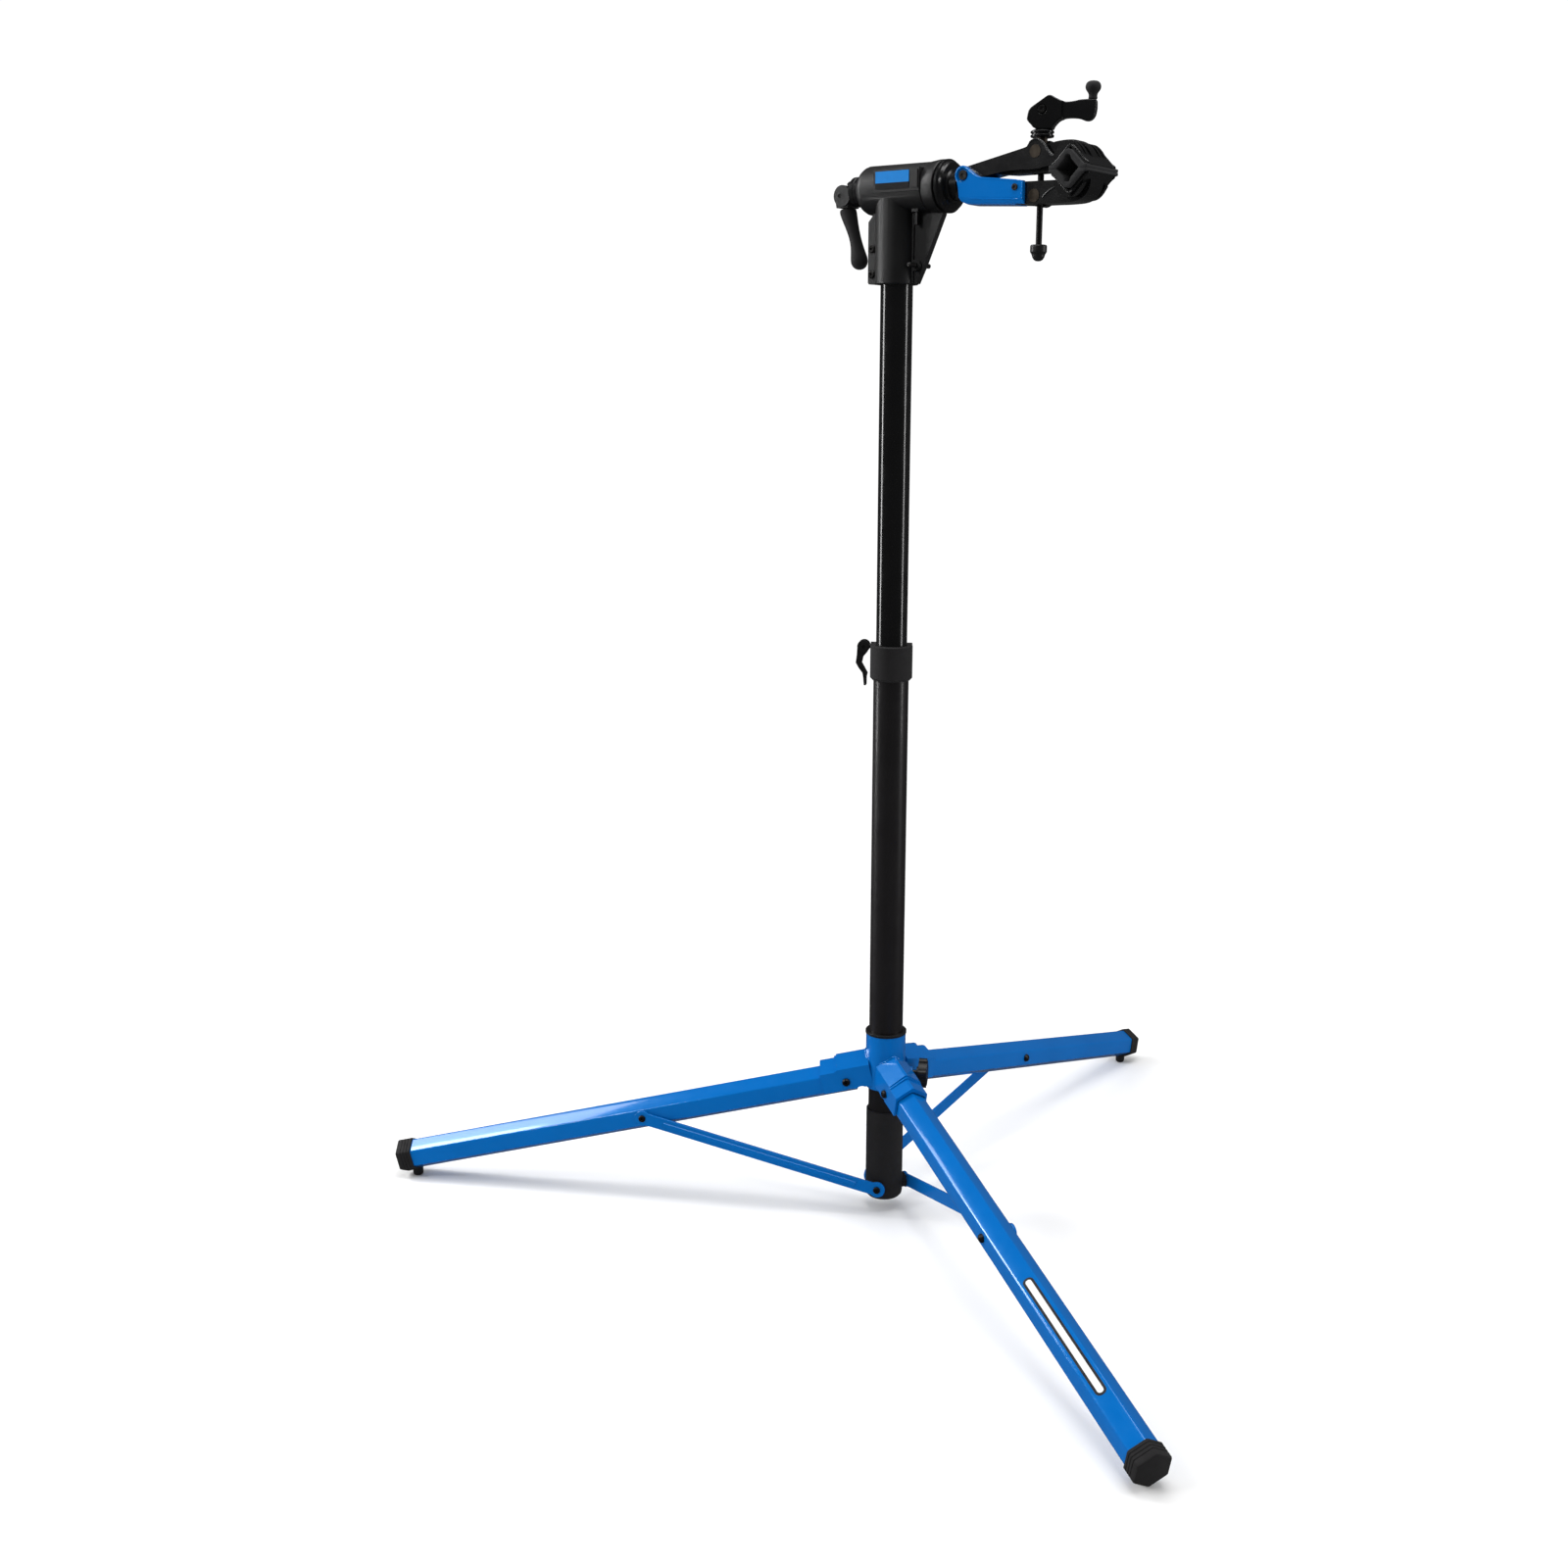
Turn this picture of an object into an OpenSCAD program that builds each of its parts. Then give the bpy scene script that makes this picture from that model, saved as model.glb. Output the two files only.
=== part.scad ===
// Folding bike repair stand: a three-leg base with a sliding hub, a telescopic mast and a
// rotating clamp head with a screw-operated jaw.
// Millimetres, +Z up, origin on the floor under the mast's axis, +X along the clamp arm.

/* [Mast] */
// Outer diameter of the fixed lower tube
lower_tube_d = 50.8; // [50:0.1:51]
// Outer diameter of the sliding upper tube
upper_tube_d = 44.4; // [44:0.1:45]
// Wall of both mast tubes
tube_wall = 2; // [1.8:0.1:2.2]
// Height of the top of the height collar
collar_top_z = 876; // [870:1:900]
// Height of the spindle axis of the clamp head
head_axis_z = 1493; // [1480:1:1510]

/* [Legs] */
// Hexagonal leg tube, across flats
leg_flats = 42.3; // [42:0.1:42.6]
// Wall of the leg tube
leg_wall = 2.5; // [2:0.1:3]
// Distance of each leg pivot from the mast axis
leg_pivot_r = 56.5; // [56:0.5:58]
// Height of the leg pivots
leg_pivot_z = 212; // [210:1:214]
// Length of a leg from its pivot to its end
leg_length = 742; // [740:1:744]
// Angle of an open leg below the horizontal
leg_slope = 14.2; // [14:0.1:14.4]
// Distance along the leg from its pivot to its strut bolt
strut_station = 328; // [320:1:336]

/* [Foot sleeve and struts] */
// Outer radius of the foot sleeve
sleeve_r = 28.2; // [28:0.1:29]
// Top of the foot sleeve
sleeve_top_z = 165; // [150:1:175]
// Distance of each lower strut pivot from the mast axis, along its leg
strut_pivot_r = 7; // [6:0.5:9]
// Height of the lower strut pivots
strut_pivot_z = 42; // [41:1:44]

/* [Clamp] */
// Distance of the threaded rod from the mast axis
rod_x = 224; // [220:1:226]
// Centre of the tube opening between the jaw pads
jaw_x = 286; // [284:1:290]
// Width of the jaw pads
pad_width = 80; // [76:1:84]
// Turn of the crank about the rod when the jaws are shut
crank_yaw = 20; // [0:5:40]

/* [Hidden] */

$fn = 96;
run_gap = 0.05;      // radial clearance of every turning or sliding fit
seat_gap = 0.02;     // radial clearance of every fixed fit
lower_r = lower_tube_d / 2;
upper_r = upper_tube_d / 2;
lower_bore_r = lower_r - tube_wall;

blue = "#0a6fd0";
black = "#1b1b1d";
steel = "#3a3a3c";
rubber = "#28282a";

rear_az = 90;
left_az = 210;
front_az = 330;
leg_azimuths = [rear_az, left_az, front_az];

// Legs: circumradius of a hexagon from its width across flats
function hex_r(flats) = flats / sqrt(3);
leg_r = hex_r(leg_flats);
leg_bore_r = hex_r(leg_flats - 2 * leg_wall);
leg_heel = 9;        // leg tube behind its pivot
cap_flats = 47.5;
cap_length = 25;
cap_end_wall = 4;
bolt_r = 4;
head_r = 5.4;        // button head
head_h = 3;
pivot_head_r = 6;
pivot_head_h = 4.6;
nub_r = 8;
nub_back = 25;       // nub centre, back from the leg's end

// Struts
strut_end_r = 12.3;
strut_mid_w = 19.5;
strut_t = 4;
strut_rib_w = 7;
strut_rib_t = 1.6;
strut_low_y = 31;    // inner face at the foot sleeve
strut_high_y = 21.5; // inner face at the leg
strut_flat = 24;     // flat stretch at each end
strut_top_r = leg_pivot_r + strut_station * cos(leg_slope);
strut_top_z = leg_pivot_z - strut_station * sin(leg_slope);
strut_rise = atan2(strut_top_z - strut_pivot_z, strut_top_r - strut_pivot_r);
strut_span = norm([strut_top_r - strut_pivot_r, strut_top_z - strut_pivot_z]);

// Mast
mast_bottom_z = 26.5;
lower_tube_top_z = collar_top_z - 6;
upper_bottom_z = 520;
upper_top_z = 1444;
sleeve_bottom_z = 21;
collar_r = 30.4;
collar_h = 50;
collar_lip = 4;
liner_h = 34;
liner_flange = 2;

// Height collar's quick-release
qr_az = 120;         // direction of the split
qr_r = 38;           // skewer's distance from the mast axis
qr_z = 868;
qr_lug_r = 6.5;
qr_cam_t = 44.5;     // lever pivot, along the skewer
qr_cam_r = 9;
qr_half = 8;         // half width of the lever head
qr_slot = 3.6;       // half width of its slot
qr_split = 3;

// Hub
hub_r = 30;
hub_bore_r = 27.4;
hub_bottom_z = 202;
hub_top_z = 287;
arm_half = 25.3;     // half width of an arm
cavity_half = 21.9;
root_gap = 3.2;      // room over the leg where its heel swings
hood_gap = 1;
root_end = 11;       // along the leg from its pivot
hood_end = 37.5;
root_start = -40;
arm_low = -12.5;
knob_az = 30;
knob_z = 224;
knob_in_r = 48;
knob_out_r = 64;
knob_r = 19;
knob_lobe_r = 6;
knob_lobes = 5;
knob_boss_r = 9;
knob_boss_end = 42;

// Clamp head
socket_r = 30;
socket_bottom_z = 1370;
barrel_r = 32;
barrel_rear_x = -53;
barrel_front_x = 78;
shoulder_x = -41;
shoulder_r = 23;
bush_bore_r = 13;
spindle_r = 10;
bush_flange_r = 19;
bush_flange_t = 2;
bush_length = 26;
flange_r = 34;
flange_back_x = 80.2;
flange_front_x = 91.5;
neck_r = 19;
neck_end_x = 106.4;
tongue_end_x = 127;
tongue_low_z = 1474.2;
tongue_top_z = 1489;
channel_half = 16.1;
ear_x = -40.5;
ear_half = 12;
ear_slit = 3;
socket_bolt_x = -33.5;
socket_bolt_zs = [1417, 1384];
pin_x = 36.8;        // accessory pin
pin_z = 1394.5;
pin_half = 24;
pin_r = 3.2;
label_size = [55, 0.6, 23];
label_corner = [-13.5, -33.6, 1490.2];
pad_face_y = -33;

// Tension lever at the back of the head
cam_x = -84.5;
cam_z = 1488.3;
cam_r = 14;
cam_half = 15;
cam_slot = 5.5;
cam_pin_x = -88;
pocket_r = 17.65;    // about the cam pin
tail_half = 5.3;
tail_r = 8;
washer_front_x = -55.1;
washer_step_x = -72;
washer_back_x = -80.5;
washer_r = 19.7;
washer_lip_r = 15.2;
grip_top_z = 1472.8;

// Clamp arms
arm_pivot = [118.5, 1503];
arm_ear_r = 11.5;
blue_back_x = 112;
blue_front_x = 211;
blue_half = 22;
blue_wall = 5.8;
blue_floor_z = 1462.5;
blue_edge_r = 11;
blue_slope = 2.8;
inner_half = 15.8;   // half width of the pieces between the blue walls
trunnion_top_z = 1526;
trunnion_low_z = 1473;
trunnion_r = 8;
jaw_z = 1500;
split_gap = 0.25;    // half the gap between the closed pads
pad_out = 26;        // half diagonal of the pads' outside
pad_in = 15.4;       // half diagonal of the opening
cradle_out = 31.5;
cradle_half = 34;
rib_half = 3;

// Rod and crank
rod_r = 4;
rod_bottom_z = 1398;
stub_r = 6.8;
stub_top_z = 1543;
thrust_bottom_z = 1543.6;
thrust_top_z = 1552.4;
crank_pin_z = 1576.4;
crank_cam_r = 23.8;
crank_half = 9;
crank_slot = 4.3;
knob_u = 62.6;

// ---------------------------------------------------------------- helpers

// Places children in the upright plane of one leg: X outward, Y to the leg's left
module at_azimuth(az) rotate([0, 0, az]) children();

// The frame of one open leg: origin at its pivot, X along the tube
module on_leg(az) at_azimuth(az)
    translate([leg_pivot_r, 0, leg_pivot_z]) rotate([0, leg_slope, 0]) children();

// The frame of one strut: origin at its lower pivot, X along the bar
module on_strut(az) at_azimuth(az)
    translate([strut_pivot_r, 0, strut_pivot_z]) rotate([0, -strut_rise, 0]) children();

// The frame of the height collar's quick-release: X outward, Y along the skewer
module on_skewer() rotate([0, 0, qr_az]) translate([qr_r, 0, qr_z]) children();

// The frame of the crank: origin on the rod's axis at the crank pin, X along the handle
// A smooth line through the given points, with n steps from each one to the next
function curve_at(a, b, c, d, t) = 0.5 * (2 * b + (c - a) * t
    + (2 * a - 5 * b + 4 * c - d) * t * t + (3 * b - a - 3 * c + d) * t * t * t);
function smooth_line(p, n) = let (last = len(p) - 1) concat(
    [for (i = [0 : last - 1], k = [0 : n - 1])
        curve_at(p[max(i - 1, 0)], p[i], p[i + 1], p[min(i + 2, last)], k / n)],
    [p[last]]
);

module on_crank() translate([rod_x, 0, crank_pin_z]) rotate([0, 0, crank_yaw]) children();

module tube(r, bore, h) difference() {
    cylinder(r = r, h = h);
    translate([0, 0, -1]) cylinder(r = bore, h = h + 2);
}

// Cylinder along X, from x0 to x1
module x_rod(r, x0, x1) translate([x0, 0, 0]) rotate([0, 90, 0]) cylinder(r = r, h = x1 - x0);

// Cylinder along Y, from y0 to y1
module y_rod(r, y0, y1) translate([0, y0, 0]) rotate([-90, 0, 0]) cylinder(r = r, h = y1 - y0);

// Hexagonal bar along X with a corner on top
module hex_bar(r, x0, x1) translate([x0, 0, 0]) rotate([0, 90, 0])
    cylinder(r = r, h = x1 - x0, $fn = 6);

// Outline in X and Z, extruded from y0 to y1
module plate(y0, y1) translate([0, y1, 0]) rotate([90, 0, 0])
    linear_extrude(height = y1 - y0) children();

// Box from one corner to the other
module block(low, high) translate(low) cube(high - low);

// Button-head screw along +Y: the head's seat at y = 0, its shank of length h below
module button_screw(h, r = bolt_r, top_r = head_r, top_h = head_h) {
    difference() {
        rotate([-90, 0, 0]) rotate_extrude() polygon([
            [0, 0], [top_r, 0], [top_r, 0.6 * top_h], [0.75 * top_r, top_h], [0, top_h]
        ]);
        translate([0, 0.4 * top_h, 0]) rotate([-90, 0, 0]) cylinder(r = 2.3, h = top_h, $fn = 6);
    }
    y_rod(r, -h, 0.3);
}

// ---------------------------------------------------------------- mast

module mast_lower_tube() color(black)
    translate([0, 0, mast_bottom_z]) tube(lower_r, lower_bore_r, lower_tube_top_z - mast_bottom_z);

module mast_foot_sleeve() color(rubber) difference() {
    union() {
        rotate_extrude() polygon([
            [0, sleeve_bottom_z], [20, sleeve_bottom_z], [25, sleeve_bottom_z + 1.2],
            [27.5, sleeve_bottom_z + 4], [sleeve_r, sleeve_bottom_z + 7.5],
            [sleeve_r, sleeve_top_z - 1.2], [sleeve_r - 1.2, sleeve_top_z], [0, sleeve_top_z]
        ]);
        for (az = leg_azimuths) at_azimuth(az)
            translate([strut_pivot_r, 0, strut_pivot_z]) y_rod(11, 15, strut_low_y);
    }
    translate([0, 0, mast_bottom_z - 0.5]) cylinder(r = lower_r + seat_gap, h = 200);
    for (az = leg_azimuths) at_azimuth(az)
        translate([strut_pivot_r, 0, strut_pivot_z]) y_rod(bolt_r + seat_gap, 20, strut_low_y + 1);
}

module strut_lower_bolts() color(steel)
    for (az = leg_azimuths) at_azimuth(az)
        translate([strut_pivot_r, strut_low_y + strut_t + 0.1, strut_pivot_z])
            button_screw(strut_low_y + strut_t + 0.1 - 26);

module height_collar() color(rubber) difference() {
    union() {
        rotate_extrude() polygon([
            [lower_r, collar_top_z - collar_h], [collar_r - 3.5, collar_top_z - collar_h],
            [collar_r, collar_top_z - collar_h + 3.5], [collar_r, collar_top_z - 1],
            [collar_r - 1, collar_top_z], [upper_r + 0.4, collar_top_z],
            [upper_r + 0.4, collar_top_z - collar_lip + 0.2],
            [lower_r + seat_gap, collar_top_z - collar_lip + 0.2],
            [lower_r + seat_gap, collar_top_z - collar_h]
        ]);
        on_skewer() {
            y_rod(qr_lug_r, -20, 34);
            block([-10.5, -20, -qr_lug_r], [0, 20, qr_lug_r]);
        }
    }
    translate([0, 0, collar_top_z - collar_h - 1]) cylinder(r = lower_r + seat_gap, h = collar_h - 3);
    on_skewer() {
        y_rod(3 + seat_gap, -40, 40);
        translate([-20, -qr_split / 2, -60]) cube([60, qr_split, 100]);
    }
}

module collar_liner() color(black) {
    translate([0, 0, lower_tube_top_z - liner_h])
        tube(lower_bore_r - run_gap, upper_r + run_gap, liner_h);
    translate([0, 0, lower_tube_top_z])
        tube(lower_r - 0.1, upper_r + run_gap, liner_flange);
}

module collar_skewer() color(steel) on_skewer() {
    difference() {
        union() {
            y_rod(3, -26, qr_cam_t);
            translate([0, qr_cam_t, 0]) x_rod(6, -qr_slot + 0.2, qr_slot - 0.2);
        }
        translate([0, qr_cam_t, 0]) x_rod(2.5 + seat_gap, -10, 10);
    }
    translate([0, -26, 0]) y_rod(6.5, 0, 5.9);
}

module collar_lever_pin() color(steel) on_skewer()
    translate([0, qr_cam_t, 0]) x_rod(2.5, -qr_half, qr_half);

module collar_lever() color(black) on_skewer() translate([0, qr_cam_t, 0]) difference() {
    union() {
        x_rod(qr_cam_r, -qr_half, qr_half);
        rotate([90, 0, 90]) translate([0, 0, -qr_half + 1]) linear_extrude(height = 2 * qr_half - 2)
            polygon([
                [-6, -4], [8.9, 0], [9.5, -12], [11, -24], [7, -31], [1, -39], [0, -45],
                [-1.2, -57], [-4, -57], [-4, -46], [-5.5, -40], [-1, -32], [3, -25], [1, -16], [-5, -9]
            ]);
    }
    block([-qr_slot, -20, -3], [qr_slot, 20, 20]);
    x_rod(6.3, -qr_slot, qr_slot);
    x_rod(2.5 + run_gap, -20, 20);
    translate([0, 6, -15.5]) rotate([0, 0, 90]) x_rod(2.2, -12, 12);
}

// ---------------------------------------------------------------- hub and legs

// Section across an arm of the hub: half width, eave and ridge heights, and lower edge
module arm_section(half, eave, ridge, low) polygon([
    [-half, low], [half, low], [half, eave], [2, ridge], [-2, ridge], [-half, eave]
]);

// Extrudes an arm's section along the leg
module along_leg(x0, x1) translate([x0, 0, 0]) rotate([90, 0, 90])
    linear_extrude(height = x1 - x0) children();

module hub_arm_outside() {
    along_leg(root_start, root_end) arm_section(arm_half, 21, 37.5, arm_low);
    along_leg(0, root_end + 3.5) arm_section(arm_half, 19.5, 35, arm_low);
    along_leg(0, hood_end) arm_section(arm_half, 18, 32.4, arm_low);
}

module hub_arm_cavity() {
    along_leg(-26, root_end) arm_section(cavity_half, leg_r / 2 + root_gap, leg_r + root_gap, -60);
    along_leg(0, 100) arm_section(cavity_half, leg_r / 2 + hood_gap, leg_r + hood_gap, -60);
}

module leg_hub() color(blue) difference() {
    union() {
        difference() {
            for (az = leg_azimuths) on_leg(az) hub_arm_outside();
            for (az = leg_azimuths) {
                on_leg(az) hub_arm_cavity();
                at_azimuth(az) translate([31, 0, 195]) y_rod(12, -60, 60);
            }
            translate([0, 0, hub_bottom_z - 100]) cylinder(r = 60, h = 100);
        }
        translate([0, 0, hub_bottom_z]) cylinder(r = hub_r, h = hub_top_z - hub_bottom_z);
        at_azimuth(knob_az) translate([0, 0, knob_z]) x_rod(knob_boss_r, 20, knob_boss_end);
    }
    translate([0, 0, hub_bottom_z - 20]) cylinder(r = hub_bore_r, h = 200);
    for (az = leg_azimuths) on_leg(az) y_rod(bolt_r + seat_gap, -60, 60);
    at_azimuth(knob_az) translate([0, 0, knob_z]) x_rod(4 + run_gap, 0, 100);
}

module hub_bushing_upper() color(black) {
    translate([0, 0, hub_top_z - 22]) tube(hub_bore_r - seat_gap, lower_r + run_gap, 22);
    translate([0, 0, hub_top_z]) tube(hub_r + 1, lower_r + run_gap, 4);
}

module hub_bushing_lower() color(black)
    translate([0, 0, hub_bottom_z]) tube(hub_bore_r - seat_gap, lower_r + run_gap, 14);

module leg_pivot_bolts() color(steel) for (az = leg_azimuths) on_leg(az) {
    translate([0, arm_half, 0])
        button_screw(2 * arm_half, top_r = pivot_head_r, top_h = pivot_head_h);
    mirror([0, 1, 0]) translate([0, arm_half, 0])
        button_screw(0.4, top_r = pivot_head_r, top_h = pivot_head_h);
}

module hub_knob() color(black) at_azimuth(knob_az) translate([0, 0, knob_z]) difference() {
    union() {
        x_rod(knob_r, knob_in_r + 3, knob_out_r);
        x_rod(9, knob_in_r, knob_in_r + 4);
        for (i = [0 : knob_lobes - 1])
            rotate([360 / knob_lobes * i, 0, 0]) translate([0, 0, knob_r - 2])
                x_rod(knob_lobe_r, knob_in_r + 3.5, knob_out_r - 0.5);
    }
    x_rod(4 + seat_gap, 0, knob_out_r - 4);
}

module hub_lock_stud() color(steel) at_azimuth(knob_az)
    translate([0, 0, knob_z]) x_rod(4, lower_r + 0.25, knob_out_r - 4.1);

module leg_tube(az) color(blue) on_leg(az) difference() {
    hex_bar(leg_r, -leg_heel, leg_length - cap_end_wall - 0.1);
    hex_bar(leg_bore_r, -leg_heel - 1, leg_length);
    y_rod(bolt_r + run_gap, -60, 60);
    translate([strut_station, 0, 0]) y_rod(bolt_r + seat_gap, -60, 60);
}
module leg_tube_rear() leg_tube(rear_az);
module leg_tube_left() leg_tube(left_az);
module leg_tube_front() leg_tube(front_az);

module foot_cap(az) color(rubber) difference() {
    union() {
        on_leg(az) hex_bar(hex_r(cap_flats), leg_length - cap_length, leg_length);
        at_azimuth(az) translate([leg_pivot_r + leg_length * cos(leg_slope) - nub_back, 0, 0])
            rotate_extrude() polygon([
                [0, 0], [nub_r - 3, 0], [nub_r - 1, 1], [nub_r, 3], [nub_r, 26], [0, 26]
            ]);
    }
    on_leg(az) hex_bar(leg_r + 0.05, 0, leg_length - cap_end_wall);
}
module foot_cap_rear() foot_cap(rear_az);
module foot_cap_left() foot_cap(left_az);
module foot_cap_front() foot_cap(front_az);

// Bolt through the leg, with a domed head on its right and its end flush on its left
module leg_strut_bolt(az) color(steel) on_leg(az) translate([strut_station, 0, 0]) {
    y_rod(bolt_r, -leg_flats / 2, leg_flats / 2);
    translate([0, -leg_flats / 2, 0]) rotate([90, 0, 0]) rotate_extrude()
        polygon([[0, 0], [6.2, 0], [6.2, 1.6], [5, 4], [2.6, 5.4], [0, 5.8]]);
}
module leg_strut_bolt_rear() leg_strut_bolt(rear_az);
module leg_strut_bolt_left() leg_strut_bolt(left_az);
module leg_strut_bolt_front() leg_strut_bolt(front_az);

// Plan of a strut: flat ends at two offsets joined by a straight bar
module strut_plan(t, y) polygon([
    [-30, strut_low_y + y], [strut_flat, strut_low_y + y],
    [strut_span - strut_flat, strut_high_y + y], [strut_span + 30, strut_high_y + y],
    [strut_span + 30, strut_high_y + y + t], [strut_span - strut_flat, strut_high_y + y + t],
    [strut_flat, strut_low_y + y + t], [-30, strut_low_y + y + t]
]);

module strut(az) color(blue) on_strut(az) difference() {
    union() {
        intersection() {
            translate([0, 0, -20]) linear_extrude(height = 40) strut_plan(strut_t, 0);
            union() {
                y_rod(strut_end_r, 0, 60);
                translate([strut_span, 0, 0]) y_rod(strut_end_r, 0, 60);
                block([0, 0, -strut_mid_w / 2], [strut_span, 60, strut_mid_w / 2]);
            }
        }
        intersection() {
            translate([0, 0, -20]) linear_extrude(height = 40)
                strut_plan(strut_t + strut_rib_t, 0);
            block([34, 0, -strut_rib_w / 2], [strut_span - 34, 60, strut_rib_w / 2]);
        }
    }
    y_rod(bolt_r + run_gap, 0, 60);
    translate([strut_span, 0, 0]) y_rod(bolt_r + seat_gap, 0, 60);
}
module strut_rear() strut(rear_az);
module strut_left() strut(left_az);
module strut_front() strut(front_az);

module strut_upper_bolt(az) color(steel) on_strut(az)
    translate([strut_span, strut_high_y + strut_t, 0]) button_screw(strut_t);
module strut_upper_bolt_rear() strut_upper_bolt(rear_az);
module strut_upper_bolt_left() strut_upper_bolt(left_az);
module strut_upper_bolt_front() strut_upper_bolt(front_az);

// ---------------------------------------------------------------- upper mast and head

module upper_tube_glide() color(rubber) translate([0, 0, upper_bottom_z - 12]) {
    tube(lower_bore_r - run_gap, upper_r - tube_wall - 2, 11.9);
    translate([0, 0, 11.8]) tube(upper_r - tube_wall - run_gap, upper_r - tube_wall - 2, 16);
}

module mast_upper_tube() color(black)
    translate([0, 0, upper_bottom_z]) tube(upper_r, upper_r - tube_wall, upper_top_z - upper_bottom_z);

// Barrel of the head, turned about the spindle axis
module barrel_profile() polygon([
    [0, barrel_rear_x], [shoulder_r, barrel_rear_x], [25.5, barrel_rear_x + 1.3],
    [28.7, barrel_rear_x + 4], [31, shoulder_x - 4], [barrel_r, shoulder_x],
    [barrel_r, 56.5], [barrel_r - 0.8, 57], [barrel_r - 0.8, 58.4], [barrel_r + 0.2, 59],
    [flange_r, barrel_front_x - 5], [flange_r, barrel_front_x - 1],
    [flange_r - 1, barrel_front_x], [0, barrel_front_x]
]);

module head_casting() color(black) difference() {
    union() {
        translate([0, 0, head_axis_z]) rotate([0, 90, 0]) rotate_extrude() barrel_profile();
        translate([0, 0, socket_bottom_z]) rotate_extrude() polygon([
            [0, 0], [socket_r - 1.5, 0], [socket_r, 1.5], [socket_r, 110], [0, 110]
        ]);
        // split ears behind the socket
        plate(-ear_half, ear_half) polygon([
            [-20, socket_bottom_z + 1], [ear_x + 2, socket_bottom_z + 1],
            [ear_x, socket_bottom_z + 3], [ear_x, 1452], [-20, 1475]
        ]);
        // gusset web under the front of the barrel
        plate(-5, 5) polygon([
            [0, socket_bottom_z + 0.5], [35.7, socket_bottom_z + 0.5], [48, pin_z],
            [77, 1458], [76, 1470], [0, 1480]
        ]);
        // raised beads on the web, beside the socket
        plate(-7, 7) polygon([
            [24, socket_bottom_z + 1], [32, socket_bottom_z + 1], [32, 1465], [24, 1465]
        ]);
        block([35, -17, 1462], [45, 17, 1466]);
        block([37.8, -14, 1446], [42.2, 14, 1470]);
        translate([pin_x, 0, pin_z]) y_rod(7.5, -8.5, 8.5);
        // flat boss that carries the label, and a raised square beside it
        block([-17, pad_face_y, 1487], [57.5, 0, 1516]);
        block([43.7, pad_face_y - 1.4, 1490.5], [55.7, 0, 1513.5]);
    }
    translate([0, 0, head_axis_z]) x_rod(bush_bore_r, -100, 100);
    translate([0, 0, socket_bottom_z - 1]) cylinder(r = upper_r + seat_gap, h = upper_top_z + 0.2 - socket_bottom_z + 1);
    block([-60, -ear_slit / 2, socket_bottom_z - 1], [0, ear_slit / 2, 1446]);
    for (z = socket_bolt_zs) translate([socket_bolt_x, 0, z]) y_rod(3 + seat_gap, -40, 40);
    translate([pin_x, 0, pin_z]) y_rod(pin_r + seat_gap, -40, 40);
}

module socket_bolts() color(steel) for (z = socket_bolt_zs)
    translate([socket_bolt_x, -ear_half, z]) rotate([0, 0, 180]) {
        button_screw(2 * ear_half, 3);
        translate([0, -2 * ear_half - 4.1, 0]) rotate([-90, 0, 0]) cylinder(r = 5.6, h = 4.1, $fn = 6);
    }

module head_label() color(blue)
    block(label_corner, label_corner + label_size - [0, 0.02, 0]);

module accessory_pin() color(steel) translate([pin_x, 0, pin_z]) {
    y_rod(pin_r, -pin_half + 1, pin_half - 1);
    for (s = [0, 180]) rotate([0, 0, s]) translate([0, pin_half - 1.1, 0]) rotate([-90, 0, 0])
        rotate_extrude() polygon([[0, 0], [pin_r, 0], [2.4, 0.8], [1.2, 1.1], [0, 1.1]]);
}

module spindle_bush_front() color(steel) translate([0, 0, head_axis_z]) difference() {
    union() {
        x_rod(bush_bore_r - seat_gap, barrel_front_x - bush_length, barrel_front_x);
        x_rod(bush_flange_r, barrel_front_x, barrel_front_x + bush_flange_t);
    }
    x_rod(spindle_r + run_gap, 0, 200);
}

module spindle_bush_rear() color(steel) translate([0, 0, head_axis_z]) difference() {
    union() {
        x_rod(bush_bore_r - seat_gap, barrel_rear_x, barrel_rear_x + bush_length);
        x_rod(bush_flange_r, barrel_rear_x - bush_flange_t, barrel_rear_x);
    }
    x_rod(spindle_r + run_gap, -200, 0);
}

// ---------------------------------------------------------------- spindle and tension lever

module spindle_shaft() color(steel) translate([0, 0, head_axis_z]) difference() {
    union() {
        x_rod(spindle_r, washer_step_x + 4, neck_end_x);
        translate([cam_pin_x, 0, cam_z - head_axis_z]) y_rod(tail_r, -tail_half, tail_half);
        block([cam_pin_x, -tail_half, -5], [washer_step_x + 5, tail_half, 5]);
    }
    translate([cam_pin_x, 0, cam_z - head_axis_z]) y_rod(3 + seat_gap, -20, 20);
}

module spindle_flange() color(black) translate([0, 0, head_axis_z]) difference() {
    union() {
        rotate([0, 90, 0]) rotate_extrude() polygon([
            [0, flange_back_x], [flange_r - 1.5, flange_back_x], [flange_r, flange_back_x + 1.4],
            [flange_r, flange_back_x + 4.6], [flange_r - 1.2, flange_back_x + 5.6],
            [31, flange_back_x + 6.6], [30.4, flange_back_x + 9.8], [29, flange_front_x],
            [neck_r + 2, flange_front_x], [neck_r, flange_front_x + 2], [neck_r, neck_end_x],
            [0, neck_end_x]
        ]);
        // tongue let into the channel of the arm
        block([neck_end_x - 2, -channel_half, tongue_low_z - head_axis_z],
            [tongue_end_x, channel_half, tongue_top_z - head_axis_z]);
    }
    x_rod(spindle_r + seat_gap, 0, neck_end_x + 1);
}

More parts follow.
